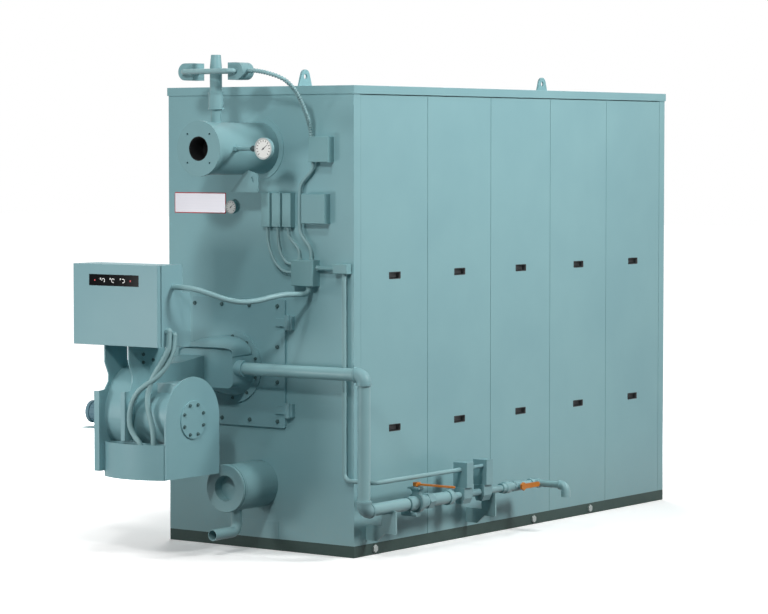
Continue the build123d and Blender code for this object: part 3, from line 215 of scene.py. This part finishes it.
def axis_frame(axis):
    """Three unit rows: across, up and along, for a piece turned about X, Y or Z, each sense."""
    along = {"x": (1, 0, 0), "-x": (-1, 0, 0), "y": (0, 1, 0), "-y": (0, -1, 0), "z": (0, 0, 1)}[axis]
    along = np.array(along, float)
    up = np.array((0, 0, 1.0)) if abs(along[2]) < 0.5 else np.array((0, 1.0, 0))
    return np.array([np.cross(up, along), up, along])


def turned_points(profile, sides, places, axis, start=0.0):
    """Point (r, s) of the profile at angle a lies at r cos a across, r sin a up and s along each place."""
    profile = np.asarray(profile, float)
    angle = start + np.arange(sides) * 2 * math.pi / sides
    local = np.stack([profile[:, 0, None] * np.cos(angle), profile[:, 0, None] * np.sin(angle),
                      np.repeat(profile[:, 1, None], sides, 1)], -1)
    return np.asarray(places, float)[:, None, None] + (local @ axis_frame(axis))[None]


def ring_faces(copies, rows, sides):
    """Quads between neighbouring rows of a ring grid, the last column joined to the first."""
    row, side = np.meshgrid(np.arange(rows - 1), np.arange(sides), indexing="ij")
    after = (side + 1) % sides
    near, far = row * sides, (row + 1) * sides
    quad = np.stack([near + side, near + after, far + after, far + side], -1).reshape(-1, 4)
    return (quad[None] + (np.arange(copies) * rows * sides)[:, None, None]).reshape(-1, 4)


def turned_piece(name, profile, sides, places, axis, material, start=0.0, smooth_angle=35, **ride):
    """A profile turned about an axis, its ends closed by merging, repeated at each place."""
    points = turned_points(profile, sides, places, axis, start)
    faces = ring_faces(len(places), len(profile), sides)
    return mesh_piece(name, points, faces, material, smooth_angle, **ride)


def hexagon_reach(across_flats):
    """From a hexagon's middle to its corners."""
    return across_flats / 2 / math.cos(math.pi / 6)


skid_paint = enamel("brushed_skid_enamel", "#374C48", "#314541", 0.55, dust="#54645F")
cover(skid_paint, "base_frame")

# Passivated zinc: pale and half dull, with a bloom that clouds it every 12 mm.
plug_zinc, tree = new_material("passivated_zinc_plug")
place = add(tree, "TexCoord").outputs["Object"]
bloom = add(tree, "TexNoise", {"Vector": place, "Scale": 1 / 0.012, "Detail": 5.0})
zinc_colour = add(tree, "Mix", {0: bloom.outputs["Fac"], 6: linear("#B4BAB8"), 7: linear("#8F9896")},
                  data_type="RGBA")
zinc_gloss = add(tree, "MapRange", {"Value": bloom.outputs["Fac"], "To Min": 0.36, "To Max": 0.55})
surface = add(tree, "BsdfPrincipled", {"Base Color": zinc_colour.outputs[2], "Metallic": 0.65,
                                       "Roughness": zinc_gloss.outputs[0]})
add(tree, "OutputMaterial", {"Surface": surface.outputs[0]})

casing_half_width = 0.6875
plug_reach = hexagon_reach(0.043)
plug_profile = [(0, 0.0098), (plug_reach * 0.86, 0.0098), (plug_reach, 0.0075), (plug_reach, 0.0005),
                (0, 0.0005)]
plug_stations = (-1.520, 0.149, 0.806)
plug_height = 0.0335
for word, side, axis in (("right", 1, "x"), ("left", -1, "-x")):
    plug_places = [(side * casing_half_width, y, plug_height) for y in plug_stations]
    turned_piece(f"base_plugs_{word}", plug_profile, 6, plug_places, axis, plug_zinc, start=math.pi / 6,
                 smooth_angle=20)


# Casing. Folded sheet panels that lift off, with fixed corner strips and a roof tray, sprayed in
# grey-green satin enamel; the sheets are flat, so the finish shows only a slow drift of shade.

casing_paint = enamel("satin_casing_enamel", "#8BB6BB", "#86B1B7", 0.42)
cover(casing_paint, "boiler_core", "front_wall", "rear_wall", "left_side_panels", "right_side_panels",
      "corner_strips", "roof_cap", "lifting_lugs", "flue_collar")


# Handles. Black moulded cups pressed into each panel's two finger recesses: a thin rim with a
# rolled lip, and sides that slope in to a flat floor.

def fine_textured(name, colour, rough):
    """Moulded plastic, enamel or ink of one colour: a fine spark texture, drawn at 3 mm for a real 0.3 mm."""
    material, tree = new_material(name)
    place = add(tree, "TexCoord").outputs["Object"]
    grain = add(tree, "TexNoise", {"Vector": place, "Scale": 1 / 0.003, "Detail": 3.0})
    gloss = add(tree, "MapRange", {"Value": grain.outputs["Fac"], "To Min": rough - 0.08,
                                   "To Max": rough + 0.08})
    relief = add(tree, "Bump", {"Height": grain.outputs["Fac"], "Strength": 0.2, "Distance": 0.0003})
    surface = add(tree, "BsdfPrincipled", {"Base Color": linear(colour), "Roughness": gloss.outputs[0],
                                           "Normal": relief.outputs[0], "IOR": 1.53})
    add(tree, "OutputMaterial", {"Surface": surface.outputs[0]})
    return material


handle_black = fine_textured("moulded_handle_abs", "#14181A", 0.5)
casing_length, corner_strip, panel_count = 3.440, 0.065, 5
panel_pitch = (casing_length - 2 * corner_strip) / panel_count
panel_middles = [-casing_length / 2 + corner_strip + (index + 0.5) * panel_pitch
                 for index in range(panel_count)]
handle_levels = (0.721, 1.606)
handle_places = [(0, y, z) for y in panel_middles for z in handle_levels]


def rounded_rectangle(half_wide, half_tall, corner, steps=5):
    """Closed outline: four quarter circles of the corner radius at the corners of a smaller rectangle."""
    angle = np.concatenate([np.linspace(0, math.pi / 2, steps) + quarter * math.pi / 2
                            for quarter in range(4)])
    sign_wide = np.repeat([1, -1, -1, 1], steps)
    sign_tall = np.repeat([1, 1, -1, -1], steps)
    return np.stack([sign_wide * (half_wide - corner) + corner * np.cos(angle),
                     sign_tall * (half_tall - corner) + corner * np.sin(angle)], -1)


def cup_grid(side):
    """Rings of a rounded rectangle from the rim's edge over the lip, in to the floor and to its centre."""
    rings = [(0.0570, 0.0205, 0.0055, 0.0), (0.0570, 0.0205, 0.0055, 0.0012),
             (0.0540, 0.0180, 0.0050, 0.0016), (0.0530, 0.0170, 0.0045, 0.0004),
             (0.0500, 0.0145, 0.0040, -0.0255), (0.0470, 0.0125, 0.0040, -0.0275),
             (0.0001, 0.0001, 0.00005, -0.0275)]
    grid = []
    for half_wide, half_tall, corner, depth in rings:
        outline = rounded_rectangle(half_wide, half_tall, corner)
        outward = np.full(len(outline), side * (casing_half_width + depth))
        grid.append(np.stack([outward, outline[:, 0], outline[:, 1]], -1))
    return np.stack(grid)


for word, side in (("right", 1), ("left", -1)):
    grid = cup_grid(side)
    points = np.array(handle_places)[:, None, None] + grid[None]
    faces = ring_faces(len(handle_places), grid.shape[0], grid.shape[1])
    mesh_piece(f"handle_cups_{word}", points, faces, handle_black, 40)


# Upper drum, riser and fittings. Rolled steel shell with a bored end plate, a screwed riser with
# its relief body, cast switch heads and the bracket; all sprayed with the casing.

fitting_paint = enamel("satin_fitting_enamel", "#82ACB1", "#7BA2A7", 0.40)
cover(fitting_paint, "upper_drum", "riser_fitting", "switch_heads", "drum_bracket", "thermometer",
      "lower_drum", "drain_pipe")

# Two dark enamels for painted shade: one inside the outlet bore, one in the grooves behind the end plates.
bore_shade_enamel = enamel("painted_bore_shade", "#101213", "#0B0D0E", 0.7)
groove_shade_enamel = enamel("painted_groove_shade", "#1D2627", "#182021", 0.6)


def groove_shade_band(name, radius, y, z, width):
    """A dark band of this radius and width round the Y axis in the groove behind an end plate, painted shade of
    the groove.
    """
    half, inner = width / 2, radius - 0.004
    turned_piece(name, [(inner, -half), (radius, -half), (radius, half), (inner, half), (inner, -half)], 96,
                 [(0, y, z)], "y", groove_shade_enamel)


upper_drum_z, lower_drum_z = 2.340, 0.384
# The dark bands in the grooves behind the two end plates are painted groove shade.
groove_shade_band("outlet_plate_groove_shade", 0.1475, -2.2350, upper_drum_z, 0.0054)
groove_shade_band("return_plate_groove_shade", 0.1325, -2.0080, lower_drum_z, 0.0038)
# The near-black cup in the outlet bore is painted shade: it darkens the hole's inside and hides the drum behind
# it.
turned_piece("outlet_bore_shade_cup", [(0.0, 0.120), (0.0690, 0.120), (0.0690, 0.0005), (0.0655, 0.0005),
                                    (0.0655, 0.116), (0.0, 0.116)],
             64, [(0, -2.270, upper_drum_z)], "y", bore_shade_enamel)


# Dials. Enamelled white faces with black ticks and a needle on a hub, each set in the recess of its
# steel case under a bright bezel.

dial_white = fine_textured("enamelled_dial_face", "#F2F2EE", 0.35)
dial_black = fine_textured("printed_dial_ink", "#101113", 0.5)
dial_bezel = enamel("bright_dial_bezel", "#C9CFCE", "#BFC6C5", 0.28)


def dial(name, centre, radius, ticks, needle_turn):
    """Face disc, ticks on a circle and a tapered needle, stacked outwards along -Y from the recess floor."""
    x, y, z = centre
    floor_y = y + 0.0028
    turned_piece(f"{name}_face", [(0, 0.0), (radius * 0.86, 0.0), (radius * 0.86, 0.0006), (0, 0.0006)], 64,
                 [(x, floor_y, z)], "-y", dial_white)
    turned_piece(f"{name}_bezel", [(radius * 0.88, 0.0), (radius * 0.88, 0.0024), (radius * 0.93, 0.0034),
                                   (radius, 0.0030), (radius, 0.0), (radius * 0.88, 0.0)], 64,
                 [(x, y + 0.0026, z)], "-y", dial_bezel)
    marks = [(turn, radius * 0.64, radius * 0.80, radius * 0.030, radius * 0.030)
             for turn in np.radians(np.linspace(-45, 225, ticks))]
    marks.append((math.radians(needle_turn), -radius * 0.22, radius * 0.62, radius * 0.045, radius * 0.012))
    box_faces = ((0, 1, 2, 3), (7, 6, 5, 4), (0, 4, 5, 1), (1, 5, 6, 2), (2, 6, 7, 3), (3, 7, 4, 0))
    points, faces = [], []
    low = floor_y - 0.0007
    for turn, inner, outer, wide_in, wide_out in marks:
        across = np.array((math.cos(turn), math.sin(turn)))
        beside = np.array((-across[1], across[0]))
        flat = [across * inner - beside * wide_in, across * inner + beside * wide_in,
                across * outer + beside * wide_out, across * outer - beside * wide_out]
        faces.extend([[len(points) + i for i in corner] for corner in box_faces])
        for level in (low, low - 0.0006):
            points.extend([(x + u, level, z + v) for u, v in flat])
    mesh_piece(f"{name}_marks", points, faces, dial_black, 20)
    turned_piece(f"{name}_hub", [(0, 0.0026), (radius * 0.07, 0.0022), (radius * 0.09, 0.0008),
                                 (radius * 0.09, 0.0), (0, 0.0)], 24, [(x, floor_y, z)], "-y", dial_black)


dial("thermometer_dial", (0.362, -2.138, upper_drum_z), 0.061, 13, 38)
joint_steel = enamel("oxidised_ball_joint", "#34484A", "#2C3E40", 0.4)
stem_y = -2.123
turned_piece("thermometer_sleeve", [(0.0, 0.0002), (0.0130, 0.0002), (0.0130, 0.0900), (0.0112, 0.0920),
                                    (0.0, 0.0920)],
             32, [(0.170, stem_y, upper_drum_z)], "x", fitting_paint)
turned_piece("thermometer_ball_joint", [(0.0, 0.0), (0.0120, 0.0010), (0.0165, 0.0080), (0.0180, 0.0150),
                                        (0.0165, 0.0220), (0.0120, 0.0290), (0.0, 0.0300)],
             32, [(0.266, stem_y, upper_drum_z)], "x", joint_steel)
dial("pressure_dial", (-0.196, -1.744, 1.998), 0.0395, 11, 42)
cover(fitting_paint, "pressure_gauge")


# Bare plate. Anodised aluminium sheet with an enamelled red edge, held flat on the front wall. It is
# brushed along its length, which gives level streaks with a soft shine; they are really finer than a
# tenth of a millimetre and are drawn at about 1 mm.

plate_silver, tree = new_material("anodised_plate_aluminium")
place = add(tree, "TexCoord").outputs["Object"]
stretch = add(tree, "Mapping", {"Vector": place, "Scale": (3.0, 3.0, 900.0)})
brush = add(tree, "TexNoise", {"Vector": stretch.outputs[0], "Scale": 1.0, "Detail": 4.0})
sheet_colour = add(tree, "Mix", {0: brush.outputs["Fac"], 6: linear("#CFCCD0"), 7: linear("#B3B5BE")},
                   data_type="RGBA")
sheet_gloss = add(tree, "MapRange", {"Value": brush.outputs["Fac"], "To Min": 0.28, "To Max": 0.44})
surface = add(tree, "BsdfPrincipled", {"Base Color": sheet_colour.outputs[2], "Metallic": 0.8,
                                       "Roughness": sheet_gloss.outputs[0]})
add(tree, "OutputMaterial", {"Surface": surface.outputs[0]})
plate_red = enamel("red_edge_enamel", "#C0343A", "#B32E34", 0.4)


def wall_plate(name, half_wide, half_tall, corner, back, front, material):
    """Rounded rectangle between two stations, its front edge rolled over; size 0 closes it at its middle."""
    centre_x, centre_z = -0.4455, 2.020
    rings = []
    for size, inset, station in ((0, 0.0, back), (1, 0.0, back), (1, 0.0, front + 0.0004), (1, 0.0008, front),
                                 (0, 0.0, front)):
        outline = size * rounded_rectangle(half_wide - inset, half_tall - inset, corner)
        rings.append(np.stack([centre_x + outline[:, 0], np.full(len(outline), station),
                               centre_z + outline[:, 1]], -1))
    mesh_piece(name, np.stack(rings), ring_faces(1, len(rings), len(outline)), material, 15)


wall_plate("bare_plate_edge", 0.1965, 0.0610, 0.006, -1.7200, -1.7216, plate_red)
wall_plate("bare_plate", 0.1915, 0.0560, 0.004, -1.7214, -1.7224, plate_silver)


# Conduits and boxes on the front wall. Pressed steel boxes and bent steel conduit, oversprayed in
# place; the run from the right switch head is wound strip, so it shows ribs.

box_paint = enamel("oversprayed_box_enamel", "#82ADB1", "#7EA8AD", 0.42)
conduit_paint = enamel("oversprayed_conduit_enamel", "#8FB4B7", "#86ABAF", 0.38)
cover(box_paint, "junction_boxes", "relay_boxes", "conduit_elbow_body")
cover(conduit_paint, "relay_conduits", "gas_train_conduit", "burner_conduits", "cabinet_conduit",
      "switch_link_conduit")


def smooth_run(corners, spacing):
    """Catmull-Rom run: between b and c it is (2b + (c-a)t + (2a-5b+4c-d)tt + (3b-a-3c+d)ttt) / 2."""
    corners = np.asarray(corners, float)
    padded = np.vstack([2 * corners[0] - corners[1], corners, 2 * corners[-1] - corners[-2]])
    a, b, c, d = (padded[i:len(padded) - 3 + i, None] for i in range(4))
    t = np.linspace(0, 1, 40, endpoint=False)[None, :, None]
    fine = (2 * b + (c - a) * t + (2 * a - 5 * b + 4 * c - d) * t ** 2
            + (3 * b - a - 3 * c + d) * t ** 3) / 2
    fine = np.vstack([fine.reshape(-1, 3), corners[-1:]])
    travelled = np.concatenate([[0], np.cumsum(np.linalg.norm(np.diff(fine, axis=0), axis=1))])
    stations = np.linspace(0, travelled[-1], max(3, round(travelled[-1] / spacing)))
    return stations, np.stack([np.interp(stations, travelled, fine[:, i]) for i in range(3)], -1)


def conduit_piece(name, corners, radius, rib, pitch, spacing):
    """Tube of radius + rib cos(2 pi s / pitch) at the distance s along a smooth run, with flat ends."""
    stations, line = smooth_run(corners, spacing)
    along = np.gradient(line, axis=0)
    along /= np.linalg.norm(along, axis=1, keepdims=True)
    across = np.cross(along, np.array((0.1, 0.7, 0.7)))
    across /= np.linalg.norm(across, axis=1, keepdims=True)
    up = np.cross(across, along)
    sides = 20
    turn = (np.arange(sides) * 2 * math.pi / sides)[None, :, None]
    reach = (radius + rib * np.cos(2 * math.pi * stations / pitch))[:, None, None]
    grid = line[:, None] + reach * (across[:, None] * np.cos(turn) + up[:, None] * np.sin(turn))
    grid = np.concatenate([np.repeat(line[:1, None], sides, 1), grid, np.repeat(line[-1:, None], sides, 1)])
    return mesh_piece(name, grid, ring_faces(1, len(grid), sides), conduit_paint, 50)


# The wound strip's ribs are about 6 mm apart and are drawn at 18 mm, which is as fine as the render shows.
wound_conduit = conduit_piece("wound_switch_conduit", [
    (0.228, -2.112, 2.780), (0.278, -2.112, 2.780), (0.340, -2.111, 2.772), (0.390, -2.104, 2.760),
    (0.433, -2.085, 2.744), (0.459, -2.045, 2.718), (0.465, -1.970, 2.662), (0.453, -1.885, 2.577),
    (0.435, -1.820, 2.506), (0.420, -1.778, 2.451), (0.416, -1.764, 2.405)],
    radius=0.0112, rib=0.0022, pitch=0.018, spacing=0.0030)
box_conduit = conduit_piece("box_link_conduit", [
    (0.416, -1.745, 2.266), (0.415, -1.745, 2.235), (0.398, -1.745, 2.205), (0.360, -1.745, 2.170),
    (0.328, -1.745, 2.130), (0.318, -1.745, 2.070), (0.316, -1.745, 1.990), (0.317, -1.745, 1.900),
    (0.324, -1.745, 1.860), (0.352, -1.745, 1.818), (0.388, -1.745, 1.778), (0.400, -1.745, 1.735),
    (0.400, -1.745, 1.698)], radius=0.0105, rib=0.0, pitch=0.015, spacing=0.0060)
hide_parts("switch_conduit")
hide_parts("switch_conduit")


def locknuts(name, across_flats, length, places, axis):
    """Six-sided nuts with chamfered corners, run up against the boxes where the conduits go in."""
    reach = hexagon_reach(across_flats)
    profile = [(0, 0), (reach, 0), (reach, length * 0.75), (reach * 0.88, length), (0, length)]
    turned_piece(name, profile, 6, places, axis, conduit_paint, smooth_angle=20)


entry_y = -1.745
locknuts("relay_locknuts", 0.024, 0.010, [(x, entry_y, 1.877) for x in (0.080, 0.157, 0.234)], "z")
locknuts("box_top_locknuts", 0.028, 0.012, [(x, entry_y, 1.700) for x in (0.314, 0.400)], "z")
locknuts("box_side_locknuts", 0.024, 0.010, [(0.285, entry_y, z) for z in (1.627, 1.676)], "-x")
locknuts("link_box_locknuts", 0.030, 0.012, [(0.443, entry_y, 1.6555)], "x")
locknuts("wound_conduit_locknut", 0.027, 0.012, [(0.416, -1.762, 2.408)], "z")


# Burner mounting. A flame-cut plate with two forged hinges and hexagon bolts; the housing, duct
# and scroll are castings and folded sheet in the same enamel.

burner_paint = enamel("satin_burner_enamel", "#86B1B7", "#7FA9B0", 0.36)
cover(burner_paint, "burner_mounting_plate", "plate_hinges", "windbox", "air_duct", "fan_scroll",
      "fan_side_plates", "inlet_casing", "burner_end_plate", "inlet_cover", "front_tray", "motor_shelf")
motor_paint = enamel("blue_grey_motor_enamel", "#6F93A0", "#678A97", 0.38)
cover(motor_paint, "fan_motor")

bolt_paint = enamel("painted_bolt_enamel", "#4E6C6D", "#466263", 0.45)


def hexagon_bolts(name, across_flats, head, places, axis):
    """Hexagon heads on flat washers: six-sided chamfered head over a round washer, one a place."""
    reach = hexagon_reach(across_flats)
    profile = [(0, head + 0.003), (reach * 0.84, head + 0.003), (reach, head + 0.001), (reach, 0.0025),
               (0, 0.0025)]
    turned_piece(f"{name}_heads", profile, 6, places, axis, bolt_paint, smooth_angle=20)
    washer = [(0, 0.003), (reach * 1.16, 0.003), (reach * 1.22, 0.002), (reach * 1.22, 0.0003), (0, 0.0003)]
    turned_piece(f"{name}_washers", washer, 24, places, axis, bolt_paint)


def housing_lid(rows=17, columns=33):
    """Crowned lid: at share v of its depth the height at s across is low + rise (1 - |s|^n)^(1/n).

    n falls from 5 over the boxy front to 2 at the round throat. The edge rows turn down and then
    under by the lip's thickness, which closes the lid against the housing.
    """
    v = np.linspace(0, 1, rows)[:, None]
    s = np.sin(np.linspace(-math.pi / 2, math.pi / 2, columns))[None]
    power = 5 - 3 * v ** 0.8
    half_width = 0.2045 - 0.0500 * v
    centre_x = -0.262 + 0.082 * v
    low = 1.134 + 0.012 * v
    rise = 0.050 + 0.046 * v + 0.020 * np.sin(math.pi * v)
    top = low + rise * np.clip(1 - np.abs(s) ** power, 0, 1) ** (1 / power)
    depth = -1.9010 + 0.1370 * v - 0.004 * (1 - s ** 2) * (1 - v)
    outer = np.stack([centre_x + half_width * s, depth + 0 * s, top], -1)
    inner = outer * 1.0
    inner[..., 0] = centre_x + (half_width - 0.006) * s
    inner[..., 1] = np.clip(outer[..., 1] + 0.006, None, -1.7640)
    inner[..., 2] = outer[..., 2] - 0.006
    index = np.arange(rows * columns).reshape(rows, columns)
    sheet = np.stack([index[:-1, :-1], index[:-1, 1:], index[1:, 1:], index[1:, :-1]], -1).reshape(-1, 4)
    rim = np.concatenate([index[0], index[1:, -1], index[-1, -2::-1], index[-2:0:-1, 0]])
    after = np.roll(rim, -1)
    skirt = np.stack([rim, after, after + rows * columns, rim + rows * columns], -1)
    return np.concatenate([outer.reshape(-1, 3), inner.reshape(-1, 3)]), np.concatenate(
        [sheet, sheet[:, ::-1] + rows * columns, skirt])


lid_points, lid_faces = housing_lid()
mesh_piece("burner_housing_lid", lid_points, lid_faces, burner_paint, 40)

plate_face = -1.735
hexagon_bolts("mounting_plate_bolts", 0.018, 0.009,
              [(x, plate_face, z) for x in (-0.476, 0.145) for z in (1.428, 1.190, 0.985, 0.757)]
              + [(x, plate_face, z) for x in (-0.270, -0.062) for z in (1.428, 0.757)], "-y")
burner_x, burner_z, flange_face, flange_bolt_circle = -0.180, 1.061, -1.747, 0.181
hexagon_bolts("burner_flange_bolts", 0.014, 0.008,
              [(burner_x + flange_bolt_circle * math.cos(turn), flange_face,
                burner_z + flange_bolt_circle * math.sin(turn))
               for turn in np.radians(90 + 36 * np.arange(10))], "-y")
cover_y, cover_z, cover_face, cover_bolt_circle = -2.304, 0.801, -0.012, 0.090
hexagon_bolts("inlet_cover_bolts", 0.015, 0.007,
              [(cover_face, cover_y + cover_bolt_circle * math.cos(turn),
                cover_z + cover_bolt_circle * math.sin(turn))
               for turn in np.radians(22.5 + 45 * np.arange(8))], "x")


def strip_faces(rows):
    """Faces of a four-sided strip with this many rows, its two ends closed."""
    last = 4 * (rows - 1)
    ends = np.array([[3, 2, 1, 0], [last, last + 1, last + 2, last + 3]])
    return np.concatenate([ring_faces(1, rows, 4), ends])


def fan_plate_web(front=-2.3450, back=-2.2150, inner=-0.3000, outer=-0.2972, rows=14):
    """Sheet behind the inner fan plate: at share v from the front it rises from 0.985 + 0.035 v^2 to 1.2225."""
    y = np.linspace(front, back, rows)
    low = 0.985 + 0.035 * ((y - front) / (back - front)) ** 2
    high = np.full(rows, 1.2225)
    return np.stack([np.stack([np.full(rows, x), y, z], -1)
                     for x, z in ((inner, low), (outer, low), (outer, high), (inner, high))], 1)


web = fan_plate_web()
mesh_piece("fan_plate_web", web, strip_faces(len(web)), burner_paint, 20)
fan_plate_face = -0.297
hexagon_bolts("fan_plate_bolts", 0.015, 0.007,
              [(fan_plate_face, y, z) for y, z in ((-2.411, 1.168), (-2.327, 1.131), (-2.411, 1.122))], "x")


# Control cabinet. Folded sheet cabinet with a pan door; the display is a glossy black window with
# two red lamps and three lit symbols of no meaning.

cabinet_paint = enamel("powder_coated_cabinet", "#86AFB5", "#82ABB2", 0.40)
cover(cabinet_paint, "control_cabinet", "cabinet_door", "cabinet_back_box")
cover(plug_zinc, "cabinet_mounting_plate")

# Smoked acrylic: almost black, with a faint smear every 40 mm that breaks its shine.
display_gloss, tree = new_material("smoked_display_window")
place = add(tree, "TexCoord").outputs["Object"]
smear = add(tree, "TexNoise", {"Vector": place, "Scale": 1 / 0.04, "Detail": 3.0})
window_gloss = add(tree, "MapRange", {"Value": smear.outputs["Fac"], "To Min": 0.08, "To Max": 0.2})
surface = add(tree, "BsdfPrincipled", {"Base Color": linear("#07080A"), "Roughness": window_gloss.outputs[0],
                                       "IOR": 1.49, "Specular IOR Level": 0.05})
add(tree, "OutputMaterial", {"Surface": surface.outputs[0]})
cover(display_gloss, "display_panel")


def lit(name, colour, strength):
    """Backlit print: a coloured film that gives off a little light, uneven across 8 mm."""
    material, tree = new_material(name)
    place = add(tree, "TexCoord").outputs["Object"]
    patch = add(tree, "TexNoise", {"Vector": place, "Scale": 1 / 0.008, "Detail": 2.0})
    power = add(tree, "MapRange", {"Value": patch.outputs["Fac"], "To Min": strength * 0.8,
                                   "To Max": strength})
    surface = add(tree, "BsdfPrincipled", {
        "Base Color": linear(colour), "Roughness": 0.4, "Emission Color": linear(colour),
        "Emission Strength": power.outputs[0]})
    add(tree, "OutputMaterial", {"Surface": surface.outputs[0]})
    return material


lamp_red = lit("red_indicator_film", "#C42328", 0.3)
symbol_white = lit("white_symbol_film", "#E6E6E2", 0.35)
window_y, window_z = -2.5595, 1.592
turned_piece("display_lamps", [(0, 0.0004), (0.0045, 0.0003), (0.0045, 0.0), (0, 0.0)], 24,
             [(x, window_y, window_z) for x in (-0.530, -0.262)], "-y", lamp_red, body="cabinet_door",
             slot="dark_display")


def arc_strip(centre_x, centre_z, radius, width, first, last, steps=20):
    """Flat arc: the point at angle a and half width w lies at (radius + w) from the centre, 0.3 mm thick."""
    angle = np.radians(np.linspace(first, last, steps))
    ring = []
    for reach, level in ((radius - width, 0.0), (radius + width, 0.0), (radius + width, -0.0003),
                         (radius - width, -0.0003)):
        ring.append(np.stack([centre_x + reach * np.cos(angle), np.full(steps, window_y + level),
                              centre_z + reach * np.sin(angle)], -1))
    return np.stack(ring, 1)


symbol_points, symbol_faces = [], []
for centre_x, first, last in ((-0.472, -60, 190), (-0.398, 20, 300), (-0.322, -120, 130)):
    for offset_x, offset_z, radius, start, stop in ((0.006, 0.0, 0.0105, first, last),
                                                    (-0.014, 0.009, 0.0035, 0, 300)):
        strip = arc_strip(centre_x + offset_x, window_z + offset_z, radius, 0.0019, start, stop)
        symbol_faces.append(strip_faces(len(strip)) + sum(len(points) for points in symbol_points))
        symbol_points.append(strip.reshape(-1, 3))
mesh_piece("display_symbols", np.concatenate(symbol_points), np.concatenate(symbol_faces), symbol_white, 30,
           body="cabinet_door", slot="dark_display")


# Gas train. Screwed steel pipe with cast elbows and valve bodies in the same enamel; the two
# levers are steel bars dipped in orange vinyl.

pipe_paint = enamel("satin_pipe_enamel", "#8DB6BA", "#85ADB2", 0.33)
casting_paint = enamel("cast_valve_enamel", "#83ABB0", "#7BA2A8", 0.42, 9)
cover(pipe_paint, "gas_front_pipe", "gas_down_pipe", "gas_train_pipes", "gas_inlet", "pipe_brackets")
cover(casting_paint, "gas_elbows", "main_gas_valve", "safety_valves", "valve_actuators", "inlet_ball_valve")
lever_orange = enamel("dipped_orange_vinyl", "#D48334", "#CB7A2E", 0.40, 9, "#C98A4A")
cover(lever_orange, "main_gas_valve_lever", "inlet_valve_lever")
